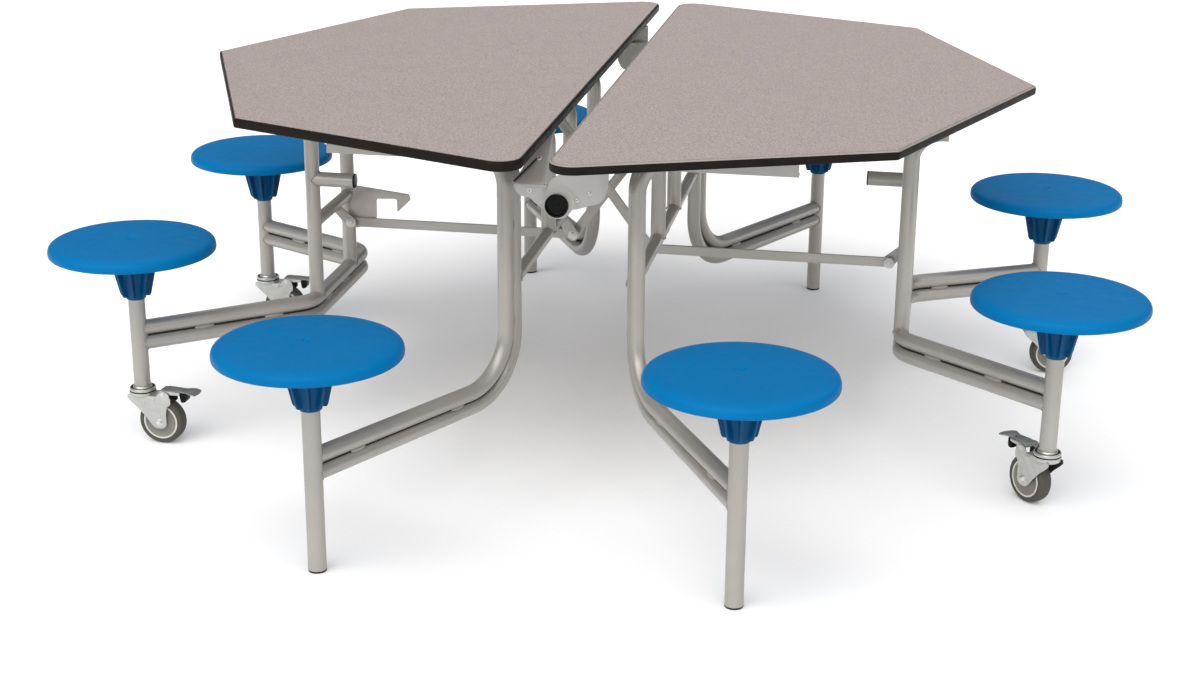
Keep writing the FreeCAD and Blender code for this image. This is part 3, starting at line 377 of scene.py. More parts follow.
def lathe(look, profile, mat, where=IDENT, around=64):
    """Turned piece about Z from (radius, height) points, closed where it meets the axis."""
    verts, rows = [], []
    for radius, height in profile:
        if radius < 1e-6:
            rows.append([len(verts)])
            verts.append((0.0, 0.0, height))
        else:
            rows.append(list(range(len(verts), len(verts) + around)))
            verts.extend([(radius * math.cos(2 * math.pi * k / around), radius * math.sin(2 * math.pi * k / around), height)
                          for k in range(around)])
    faces = []
    for a, b in zip(rows, rows[1:]):
        if len(a) == 1 and len(b) == 1:
            continue
        for k in range(around):
            n = (k + 1) % around
            if len(a) == 1:
                faces.append([a[0], b[n], b[k]])
            elif len(b) == 1:
                faces.append([a[k], a[n], b[0]])
            else:
                faces.append([a[k], a[n], b[n], b[k]])
    look.add(verts, faces, mat, where)


def rounded(points, radii, step=12.0):
    """Polygon with its corners rounded; radii is one number or one per corner."""
    count = len(points)
    if not hasattr(radii, "__len__"):
        radii = [radii] * count
    out = []
    for n in range(count):
        p = Vector((*points[n], 0.0))
        back = (Vector((*points[n - 1], 0.0)) - p)
        onward = (Vector((*points[(n + 1) % count], 0.0)) - p)
        radius = radii[n]
        if radius <= 0.01:
            out.append((p.x, p.y))
            continue
        la, lb = back.length, onward.length
        back.normalize()
        onward.normalize()
        angle = back.angle(onward)
        if angle > math.radians(178.5):
            out.append((p.x, p.y))
            continue
        reach = radius / math.tan(angle / 2)
        limit = 0.49 * min(la, lb)
        if reach > limit:
            reach = limit
            radius = reach * math.tan(angle / 2)
        first, last = p + back * reach, p + onward * reach
        centre = p + (back + onward).normalized() * (radius / math.sin(angle / 2))
        a0 = math.atan2(first.y - centre.y, first.x - centre.x)
        a1 = math.atan2(last.y - centre.y, last.x - centre.x)
        delta = (a1 - a0 + math.pi) % (2 * math.pi) - math.pi
        steps = max(2, int(round(abs(math.degrees(delta)) / step, 3)) + 1)
        for k in range(steps + 1):
            a = a0 + delta * k / steps
            out.append((centre.x + radius * math.cos(a), centre.y + radius * math.sin(a)))
    return out


def circle(x, y, radius, count=28):
    return [(x + radius * math.cos(2 * math.pi * k / count), y + radius * math.sin(2 * math.pi * k / count)) for k in range(count)]


def sheet_mesh(loops, thickness, edge):
    """Flat plate from closed outlines, centred on local Z, with rounded edges."""
    curve = bpy.data.curves.new("outline", "CURVE")
    curve.dimensions = "2D"
    curve.fill_mode = "BOTH"
    curve.extrude = max(thickness / 2 - edge, 0.01) * MM
    curve.bevel_depth = edge * MM
    curve.bevel_resolution = 2
    curve.offset = -edge * MM
    for loop in loops:
        spline = curve.splines.new("POLY")
        spline.points.add(len(loop) - 1)
        for point, (x, y) in zip(spline.points, loop):
            point.co = (x * MM, y * MM, 0.0, 1.0)
        spline.use_cyclic_u = True
    obj = bpy.data.objects.new("outline", curve)
    bpy.context.scene.collection.objects.link(obj)
    bpy.context.view_layer.update()
    shape = obj.evaluated_get(bpy.context.evaluated_depsgraph_get())
    mesh = bpy.data.meshes.new_from_object(shape)
    bpy.data.objects.remove(obj)
    bpy.data.curves.remove(curve)
    work = bmesh.new()
    work.from_mesh(mesh)
    bpy.data.meshes.remove(mesh)
    bmesh.ops.remove_doubles(work, verts=work.verts, dist=1e-6)
    bmesh.ops.dissolve_degenerate(work, edges=work.edges, dist=1e-7)
    return work


def take(work, look, mat, where):
    work.verts.ensure_lookup_table()
    for n, v in enumerate(work.verts):
        v.index = n
    verts = [tuple(v.co / MM) for v in work.verts]
    faces = [[v.index for v in f.verts] for f in work.faces]
    work.free()
    look.add(verts, faces, mat, where)


XZ = Matrix(((1, 0, 0, 0), (0, 0, -1, 0), (0, 1, 0, 0), (0, 0, 0, 1)))   # local x, y, z -> X, Z, -Y
YZ = Matrix(((0, 0, 1, 0), (1, 0, 0, 0), (0, 1, 0, 0), (0, 0, 0, 1)))    # local x, y, z -> Y, Z, X


def plate_xz(look, loops, near, far, mat, where=IDENT, edge=0.5):
    place = Matrix.Translation((0, (near + far) / 2, 0)) @ XZ
    take(sheet_mesh(loops, abs(far - near), edge), look, mat, where @ place)


def bar_x(look, loops, low, high, mat, where=IDENT, edge=0.4):
    place = Matrix.Translation(((low + high) / 2, 0, 0)) @ YZ
    take(sheet_mesh(loops, abs(high - low), edge), look, mat, where @ place)


def block(look, low, high, mat, where=IDENT, edge=0.8, segments=2):
    work = bmesh.new()
    size = [h - l for l, h in zip(low, high)]
    centre = [(l + h) / 2 for l, h in zip(low, high)]
    bmesh.ops.create_cube(work, size=1.0)
    for v in work.verts:
        v.co = Vector((v.co.x * size[0] * MM, v.co.y * size[1] * MM, v.co.z * size[2] * MM))
    bmesh.ops.bevel(work, geom=list(work.edges), offset=min(edge, min(size) * 0.45) * MM, segments=segments, affect="EDGES", profile=0.5)
    take(work, look, mat, where @ Matrix.Translation(centre))


def along(origin, direction):
    """Places a turned piece with its Z along a direction."""
    d = Vector(direction).normalized()
    rot = Vector((0, 0, 1)).rotation_difference(d).to_matrix().to_4x4()
    return Matrix.Translation(origin) @ rot


def hex_head(look, origin, direction, radius, height, where=IDENT, mat=None, washer=True):
    place = where @ along(origin, direction)
    mat = mat or STEEL
    if washer:
        lathe(look, [(0.0, 0.0), (radius * 1.25, 0.0), (radius * 1.25, 0.9), (radius * 1.18, 1.2), (0.0, 1.2)], mat, place, 28)
    lathe(look, [(0.0, 0.6), (radius * 0.96, 0.6), (radius, 1.1), (radius, height - 0.9), (radius * 0.88, height), (0.0, height)], mat, place, 6)
    lathe(look, [(0.0, height - 0.4), (radius * 0.52, height - 0.4), (radius * 0.52, height + 0.5), (radius * 0.42, height + 0.9), (0.0, height + 1.0)], mat, place, 18)


def pan_head(look, origin, direction, radius, height, where=IDENT, mat=None):
    """Round screw head with a cross recess."""
    place = where @ along(origin, direction)
    mat = mat or STEEL
    lathe(look, [(0.0, 0.0), (radius, 0.0), (radius, height * 0.35), (radius * 0.86, height * 0.75), (radius * 0.5, height), (0.0, height)], mat, place, 24)
    for a in (0.0, 90.0):
        block(look, (-radius * 0.55, -0.35, height - 0.25), (radius * 0.55, 0.35, height + 0.12), BLACK,
              place @ Matrix.Rotation(math.radians(a + 20), 4, "Z"), 0.05, 1)


# ------------------------------------------------------------------ dimensions

TAN, COS, DIAG = math.tan(math.pi / 8), math.cos(math.pi / 8), math.sqrt(0.5)
RT = 15.0
RP = 16.5
BEND = 60.0
ARM = 657.5
UNDER = 717.0
UP = Vector((0, 0, 1))


def leaf_outline(inset):
    radius = 846.6 - inset / COS
    edge = 22.5 + inset
    tip = radius - edge * TAN
    corners = [(-edge, -tip), (-radius * DIAG, -radius * DIAG), (-radius, 0.0), (-radius * DIAG, radius * DIAG), (-edge, tip)]
    soft = max(40.0 - inset, 0.1)
    small = max(7.0 - inset, 0.1)
    return rounded(corners, [soft, small, small, small, soft], 7.5)


# ------------------------------------------------------------------ the leaves

for side in ("left", "right"):
    M = SIDE[side]
    leaf = "leaf_" + side

    look = Look()
    rim = leaf_outline(4.6)
    count = len(rim)
    inner = leaf_outline(5.0)
    verts = [(x, y, 735.0) for x, y in rim] + [(x, y, 717.0) for x, y in rim] + [(x, y, 734.4) for x, y in inner]
    look.add(verts, [list(range(count))[::-1]], LAMINATE, M)
    look.add(verts, [list(range(count, 2 * count))], BACKER, M)
    look.add(verts, [[k, (k + 1) % count, count + (k + 1) % count, count + k] for k in range(count)], BACKER, M)
    look.finish("tabletop_look_" + side, leaf, ["tabletop_" + side], "laminate")

    look = Look()
    section = [(5.0, 735.0), (4.2, 735.0), (3.6, 734.95), (2.7, 734.75), (1.8, 734.25), (1.0, 733.45), (0.45, 732.3), (0.12, 730.9),
               (0.0, 729.0), (0.0, 726.0), (0.0, 723.0), (0.12, 721.1), (0.45, 719.7), (1.0, 718.55), (1.8, 717.75), (2.7, 717.25),
               (3.6, 717.05), (4.2, 717.0), (5.0, 717.0)]
    verts, faces = [], []
    for inset, z in section:
        verts.extend([(x, y, z) for x, y in leaf_outline(inset)])
    rows = len(section)
    for n in range(rows):
        faces.extend(bridge(n * count, ((n + 1) % rows) * count, count))
    # on the right leaf the top rows of the band's bullnose take the pale strip, a painted highlight with the exposed
    # laminate edge
    pale = (count * 1, count * 6) if side == "right" else (0, 0)
    look.add(verts, [f for k, f in enumerate(faces) if not pale[0] <= k < pale[1]], EDGE, M)
    look.add(verts, faces[pale[0]:pale[1]], EDGE_LINE_AND_HIGHLIGHT, M)
    # a thin pale lip where the laminate meets the band: the laminate's edge with a painted highlight
    lip = len(leaf_outline(4.0))
    verts = [(x, y, 734.98) for x, y in leaf_outline(3.7)] + [(x, y, 735.0) for x, y in leaf_outline(4.0)] + \
            [(x, y, 735.0) for x, y in leaf_outline(4.8)] + [(x, y, 734.5) for x, y in leaf_outline(4.8)] + [(x, y, 734.5) for x, y in leaf_outline(3.7)]
    faces = []
    for n in range(5):
        faces.extend(bridge(n * lip, ((n + 1) % 5) * lip, lip))
    look.add(verts, faces, EDGE_LINE_AND_HIGHLIGHT, M)
    look.finish("edge_band_look_" + side, leaf, ["edge_band_" + side], "edge_black")

    # channels, pivot brackets and the link lug under the leaf
    look = Look()
    for low, high, open_side in ((-588.0, -563.0, 1), (569.0, 594.0, -1)):
        web = low if open_side > 0 else high
        tip = high if open_side > 0 else low
        t = 2.0 * open_side
        outline = [(web, 677.0), (tip, 677.0), (tip, 679.0), (web + t, 679.0), (web + t, 715.0), (tip, 715.0), (tip, 717.0), (web, 717.0)]
        bar_x(look, [outline], -428.0, -84.0 if open_side > 0 else -20.0, FRAME, M, 0.35)
        for x in (-410.0, -300.0, -190.0, -110.0):
            pan_head(look, (x, web + t * 5, 679.0), (0, 0, 1), 4.2, 2.2, M)
    for kind, px, py, half in (("outer", -658.0, 120.0, 10.0), ("strut", -168.0, 115.0, 10.0), ("riser", -168.0, 428.0, 11.6)):
        for s in (-1, 1):
            y = s * py
            block(look, (px - 25, y - half - 14, UNDER - 3), (px + 25, y + half + 14, UNDER), FRAME, M, 1.0)
            block(look, (px - 3, y - half, 684.0), (px + 3, y + half, UNDER - 2), FRAME, M, 0.8)
            tube(look, [(px, y - half, 681.7), (px, y + half, 681.7)], [], 8.0, FRAME, M, 3.9, 28)
            for sy in (-1, 1):
                bead(look, [(px + sx * 3.6, y + sy * 0.0 + t * half * 0.94, UNDER - 3.6) for sx in (sy,) for t in [k / 8 - 1 for k in range(17)]],
                     M, 1.7, None, False)
            for dx in (-16, 16):
                for sy in (-1, 1):
                    pan_head(look, (px + dx, y + sy * (half + 7), UNDER - 3), (0, 0, -1), 3.8, 2.2, M)
    lx, lz = -125.0, 659.05
    plate_xz(look, [rounded([(lx - 13, UNDER - 2), (lx - 13, lz - 4), (lx - 5, lz - 13), (lx + 5, lz - 13), (lx + 13, lz - 4), (lx + 13, UNDER - 2)], [0, 8, 8, 8, 8, 0])],
             -39.5, -34.5, FRAME, M, 0.6)
    block(look, (lx - 30, -39.5, UNDER - 3), (lx + 30, -12.0, UNDER), FRAME, M, 1.0)
    tube(look, [(lx, -49.5, lz), (lx, -36.0, lz)], [], 5.0, STEEL, M, 1.0, 24, (False, False))
    hex_head(look, (lx, -46.0, lz), (0, -1, 0), 8.0, 4.0, M)
    for dx in (-20, 20):
        pan_head(look, (lx + dx, -24.0, UNDER - 3), (0, 0, -1), 3.8, 2.2, M)
    look.finish("underframe_look_" + side, leaf, ["leaf_underframe_" + side], "frame_grey")

    # the pressed plates that carry the shaft
    look = Look()
    near_outline = rounded([(-80, 640), (-77, 627), (-70, 618), (-46, 613), (-30, 602), (-25.5, 592), (-17, 584), (-6, 580), (6, 580),
                            (17, 584), (24, 592), (26, 605), (23, 617), (14, 627), (0, 633), (-14, 637), (-25, 640)],
                           [1, 6, 8, 16, 6, 6, 8, 8, 8, 8, 8, 8, 8, 8, 8, 8, 1])
    work = sheet_mesh([near_outline, circle(0, 605, 19.03, 40)], 5.0, 0.8)
    for n in range(1, 28):
        for axis, base in ((0, -82.0), (1, 578.0)):
            at = base + n * 4.0
            normal = Vector((1, 0, 0)) if axis == 0 else Vector((0, 1, 0))
            bmesh.ops.bisect_plane(work, geom=list(work.verts) + list(work.edges) + list(work.faces), plane_co=normal * (at * MM), plane_no=normal, dist=1e-6)
    for v in work.verts:
        x, z = v.co.x / MM, v.co.y / MM
        d = math.hypot(x, z - 605.0)
        push = 2.6 * math.exp(-((d - 32.0) / 6.5) ** 2) - 1.1 * math.exp(-((z - 633.0) / 3.5) ** 2) * (1 if x < -22 else 0)
        v.co.z -= push * MM
    take(work, look, PLATE, M @ Matrix.Translation((0, -590.5, 0)) @ XZ)
    # the sheet rolls back over a soft bend and climbs to the underside of the leaf
    slope = []
    upper = [(-593.0, 631.0), (-593.0, 635.0), (-592.8, 637.6), (-592.0, 639.9), (-590.6, 642.0), (-586.0, 645.9), (-560.0, 667.3), (-530.0, 692.2), (-508.0, 710.4),
             (-504.0, 713.4), (-500.0, 715.2), (-496.0, 716.2), (-490.0, 716.6), (-478.0, 716.6)]
    lower = [(-478.0, 713.8), (-492.0, 713.8), (-497.0, 713.2), (-501.0, 711.4), (-505.0, 708.6), (-530.0, 687.9), (-560.0, 663.0), (-584.0, 643.2), (-587.2, 640.2),
             (-588.2, 637.0), (-588.4, 631.0)]
    band_yz = upper + lower
    verts, faces = [], []
    stops = [(-80.0, 0.0), (-79.6, -0.5), (-78.8, -0.85), (-77.6, -1.0), (-52.0, -1.0), (-27.4, -1.0), (-26.2, -0.85), (-25.4, -0.5), (-25.0, 0.0)]
    total = len(band_yz)
    for x, grow in stops:
        shrink = 1.0 + grow
        for number, (y, z) in enumerate(band_yz):
            mate = band_yz[(total - 1 - number) % total] if number < len(upper) else band_yz[(total - 1 - number) % total]
            cy, cz = (y + mate[0]) / 2, (z + mate[1]) / 2
            keep = 1.0 - 0.45 * shrink
            # the outer end is cut on a slant, so the sheet narrows as it climbs
            slant = 33.0 * min(max((cz - 643.0) / 34.0, 0.0), 1.0) * (1.0 if x < -60.0 else 0.5 if x < -40.0 else 0.0)
            verts.append((x + slant, cy + (y - cy) * keep, cz + (z - cz) * keep))
    for n in range(len(stops) - 1):
        faces.extend(bridge(n * total, (n + 1) * total, total))
    faces.append(list(range(total)))
    faces.append([(len(stops) - 1) * total + k for k in range(total)][::-1])
    look.add(verts, faces, PLATE, M)
    # a thin dark line of painted shade along the slanted end of the folded sheet
    tube(look, [(-80.6, -590.2, 643.0), (-46.6, -550.0, 676.4)], [], 1.5, PAINTED_SHADE, M, 0.5, 12, (False, False))
    tilt = Vector((0, -71.0, 86.0)).normalized()
    pan_head(look, Vector((-42.0, -548.0, 677.2)), tilt, 5.2, 2.2, M)
    pan_head(look, (-51.0, -593.0, 628.0), (0, -1, 0), 4.6, 1.6, M)
    far_outline = rounded([(14, 648), (6, 656), (-24, 668), (-26, UNDER - 1), (-92, UNDER - 1), (-92, 659), (-91, 633), (-82, 613), (-57, 606), (-36, 599),
                           (-26, 597), (-19, 586), (-8, 580), (4, 579.5), (16, 583.5), (24, 592.5), (26.5, 605), (23, 622), (18, 636)],
                          [5, 5, 8, 0, 0, 26, 24, 18, 12, 10, 5, 8, 8, 8, 8, 8, 8, 8, 8])
    work = sheet_mesh([far_outline, circle(0, 605, 19.03, 40)], 5.0, 0.9)
    for n in range(1, 36):
        for axis, base in ((0, -94.0), (1, 578.0)):
            at = base + n * 4.0
            normal = Vector((1, 0, 0)) if axis == 0 else Vector((0, 1, 0))
            bmesh.ops.bisect_plane(work, geom=list(work.verts) + list(work.edges) + list(work.faces), plane_co=normal * (at * MM), plane_no=normal, dist=1e-6)
    for v in work.verts:
        x, z = v.co.x / MM, v.co.y / MM
        d = math.hypot(x, z - 605.0)
        dish = -2.5 * math.exp(-((d - 32.0) / 6.5) ** 2)
        roll = -5.0 * max(0.0, (-x - 70.0) / 22.0) ** 2 - 3.0 * max(0.0, (z - 690.0) / 27.0) ** 2
        v.co.z += (dish + roll) * MM
    # the far plate's outer face looks to the back, so it is turned over
    flip = Matrix.Diagonal((1, 1, -1, 1))
    take(work, look, PLATE, M @ Matrix.Translation((0, 596.5, 0)) @ XZ @ flip)
    for x, z in ((-59.0, 630.0), (-36.0, 616.0), (-62.0, 694.0)):
        pan_head(look, (x, 598.8 - (0.6 if x > -40 else 0.0), z), (0, 1, 0), 4.4, 2.0, M)
    look.finish("hinge_plates_look_" + side, leaf, ["hinge_plates_" + side], "plate_grey", 40.0)

look = Look()
tube(look, [(0, -600, 605), (0, 600, 605)], [], 19.0, FRAME, IDENT, 3.0, 48)
for y in (-586.5, 586.5):
    s = 1 if y > 0 else -1
    bead(look, [(20.2 * math.cos(a), y, 605 + 20.2 * math.sin(a)) for a in [2 * math.pi * k / 60 for k in range(60)]], IDENT, 1.6)
look.finish("centre_shaft_look", "leaf_left", ["centre_shaft"], "frame_grey")

look = Look()
for s in (-1, 1):
    place = along((0, s * 600.0, 605.0), (0, s, 0))
    lathe(look, [(0.0, -15.0), (15.6, -15.0), (15.95, -14.0), (15.95, 0.0), (20.7, 0.0), (21.3, 0.6), (21.5, 1.5), (21.5, 5.0), (21.1, 6.2), (20.2, 6.9),
                 (19.0, 7.0), (18.2, 6.6), (17.8, 5.8), (17.5, 2.0), (17.0, 1.4), (6.0, 1.1), (5.0, 1.3), (4.0, 1.9), (0.0, 2.1)], BLACK, place, 72)
look.finish("shaft_end_caps_look", "leaf_left", ["shaft_end_caps"], "black_plastic")

# ------------------------------------------------------------ the castor frames


def rail_corner(side, s):
    """Distance of a rail's corner from the middle plane; the front one is the nearer."""
    return 148.0 if (s < 0) == (side == "left") else 230.0


def rail_line(height, side):
    return [(-904.0, -386.0, height), (-613.0, -rail_corner(side, -1), height), (-613.0, rail_corner(side, 1), height), (-904.0, 386.0, height)]


def ears(look, x, y, pairs, pin, where):
    for low, high in pairs:
        outline = rounded([(x - 13, 656.0), (x + 13, 656.0), (x + 13, 682.0), (x + 9, 690.0), (x - 9, 690.0), (x - 13, 682.0)], [0, 0, 6, 8, 8, 6])
        plate_xz(look, [outline], y + low, y + high, FRAME, where, 0.6)
    tube(look, [(x, y + pin[0], 681.7), (x, y + pin[1], 681.7)], [], 4.0, STEEL, where, 1.0, 20, (False, False))
    for end, s in ((pin[0], -1), (pin[1], 1)):
        lathe(look, [(0.0, -0.6), (5.6, -0.6), (5.6, 0.6), (4.6, 1.4), (0.0, 1.6)], STEEL, where @ along((x, y + end, 681.7), (0, s, 0)), 20)


def lug(look, bx, bz, tx, tz, where):
    outline = rounded([(tx - 12, tz - 5), (tx + 12, tz - 5), (bx + 11, bz + 8), (bx + 13, bz - 3), (bx + 6, bz - 12), (bx - 6, bz - 12), (bx - 16, bz + 1)],
                      [0, 0, 6, 8, 8, 8, 10])
    plate_xz(look, [outline], 26.0, 31.0, FRAME, where, 0.6)
    bead(look, [(tx + t, 24.6, tz - math.sqrt(max(12.5 ** 2 - t * t, 0.0)) - 0.6) for t in range(-10, 11, 2)], where, 1.5, None, False)
    bead(look, [(tx + t, 32.4, tz - math.sqrt(max(12.5 ** 2 - t * t, 0.0)) - 0.6) for t in range(-10, 11, 2)], where, 1.5, None, False)
    tube(look, [(bx, 21.0, bz), (bx, 50.0, bz)], [], 5.0, STEEL, where, 1.0, 24, (False, False))
    lathe(look, [(5.0, 0.0), (8.0, 0.0), (8.0, 3.0), (5.0, 3.0)], STEEL, where @ along((bx, 31.0, bz), (0, 1, 0)), 28)
    hex_head(look, (bx, 46.0, bz), (0, 1, 0), 8.4, 4.0, where)
    hex_head(look, (bx, 26.0, bz), (0, -1, 0), 8.0, 4.6, where)


def weld_pad(look, x, y, z, heading, length, where):
    """Short stitch that closes the slot between the two rails."""
    place = where @ Matrix.Translation((x, y, z)) @ Matrix.Rotation(math.radians(heading), 4, "Z")
    for s in (-1, 1):
        work = bmesh.new()
        bmesh.ops.create_uvsphere(work, u_segments=20, v_segments=10, radius=1.0)
        for v in work.verts:
            ripple = 1.0 + 0.05 * math.sin(v.co.x * 22.0)
            v.co = Vector((v.co.x * length / 2, v.co.y * 4.4 * ripple, v.co.z * 4.8 * ripple)) * MM
        take(work, look, WELD, place @ Matrix.Translation((0, s * 6.2, 0)))


def painted_slot_shade(look, line, where, across=None, half=5.6, tall=2.0):
    """Dark strip of painted shade, set back in the narrow slot between two stacked tubes."""
    verts, faces = [], []
    for point, direction in line:
        level = Vector(across) if across else direction.cross(UP).normalized()
        climb = level.cross(direction).normalized()
        for a, b in ((half, tall), (half - 0.5, 0.0), (half, -tall), (-half, -tall), (0.5 - half, 0.0), (-half, tall)):
            verts.append(point + level * a + climb * b)
    for n in range(len(line) - 1):
        faces.extend(bridge(n * 6, (n + 1) * 6, 6))
    faces.append(list(range(6)))
    faces.append([(len(line) - 1) * 6 + k for k in range(6)][::-1])
    look.add(verts, faces, PAINTED_SHADE, where)


for side in ("left", "right"):
    M = SIDE[side]
    body = "castor_frame_" + side
    for word, z in (("upper", 242.0), ("lower", 210.0)):
        look = Look()
        tube(look, rail_line(z, side), [BEND, BEND], RT, FRAME, M, 2.0, 40, (False, False))
        for s in (-1, 1):
            corner = rail_corner(side, s)
            start = Vector((-613.0, s * corner, z))
            out = Vector((-904.0, s * 386.0, 0)) - Vector((-613.0, s * corner, 0))
            loop = saddle((-904.0, s * 386.0, 0), (0, 0, 1), RP, start + out * 0.5, out, RT)
            bead(look, loop, M, 2.0)
        if word == "lower":
            # painted shade along the slot between the two rails
            painted_slot_shade(look, trace(rail_line(226.0, side), [BEND, BEND]), M)
            for s in (-1, 1):
                corner = rail_corner(side, s)
                run = math.degrees(math.atan2(386.0 - corner, 904.0 - 613.0))
                for t in (0.36, 0.76):
                    x = -904.0 + (904.0 - 613.0) * t
                    y = s * (386.0 - (386.0 - corner) * t)
                    weld_pad(look, x, y, 226.0, s * (180.0 - run) if s > 0 else run, 42.0, M)
            for y in (-60.0, 60.0):
                weld_pad(look, -613.0, y, 226.0, 90.0, 42.0, M)
        look.finish("base_rail_%s_look_%s" % (word, side), body, ["base_rail_%s_%s" % (word, side)], "frame_grey")

    look = Look()
    for s in (-1, 1):
        tube(look, [(-904.0, s * 386.0, 121.0), (-904.0, s * 386.0, 352.0)], [], RP, FRAME, M, 2.0, 44)
    look.finish("castor_posts_look_" + side, body, ["castor_posts_" + side], "frame_grey")

    look = Look()
    for s in (-1, 1):
        tube(look, [(-613.0, s * 120.0, 246.0), (-613.0, s * 120.0, ARM), (-683.0, s * 120.0, ARM)], [BEND], RT, FRAME, M, 2.0, 40, (False, True))
        bead(look, saddle((-613.0, s * 120.0, 242.0), (0, 1, 0), RT, (-613.0, s * 120.0, 300.0), (0, 0, -1), RT), M, 2.0)
        ears(look, -658.0, s * 120.0, [(-14.4, -10.4), (10.4, 14.4)], (-16.0, 16.0), M)
        bead(look, saddle((-613.0, s * 120.0, 0), (0, 0, 1), RT, (-613.0, 0, 405.0), (0, s, 0), 12.5), M, 1.9)
    tube(look, [(-613.0, -120.0, 405.0), (-613.0, 120.0, 405.0)], [], 12.5, FRAME, M, 2.0, 36, (False, False))
    tube(look, [(-613.0, -120.0, 500.0), (-523.0, -120.0, 500.0)], [], RT, FRAME, M, 2.0, 40, (False, True))
    bead(look, saddle((-613.0, -120.0, 0), (0, 0, 1), RT, (-560.0, -120.0, 500.0), (-1, 0, 0), RT), M, 2.0)
    lug(look, -580.0, 366.0, -613.0, 405.0, M)
    look.finish("castor_uprights_look_" + side, body, ["castor_uprights_" + side], "frame_grey")

    look = Look()
    lathe(look, [(0.0, -12.0), (12.6, -12.0), (12.9, -11.0), (12.9, 0.0), (15.0, 0.0), (15.3, 0.4), (15.3, 1.6), (14.7, 2.6), (13.5, 3.0), (0.0, 3.0)], BLACK,
          M @ along((-523.0, -120.0, 500.0), (1, 0, 0)), 40)
    look.finish("stub_cap_look_" + side, body, ["stub_cap_" + side], "black_plastic")

# ------------------------------------------------------------- the inner frames


def riser_line(s, z, rx, ry):
    run = math.hypot(370.0 - 125.7, 909.0 - 464.3)
    dx, dy = (370.0 - 125.7) / run, (909.0 - 464.3) / run
    reach = (184.0 - rx) / dy
    return [(-370.0, s * 909.0, z), (-rx, s * ry, z), (-rx, s * ry, ARM), (-(rx + dy * reach), s * (ry - dx * reach), ARM)]


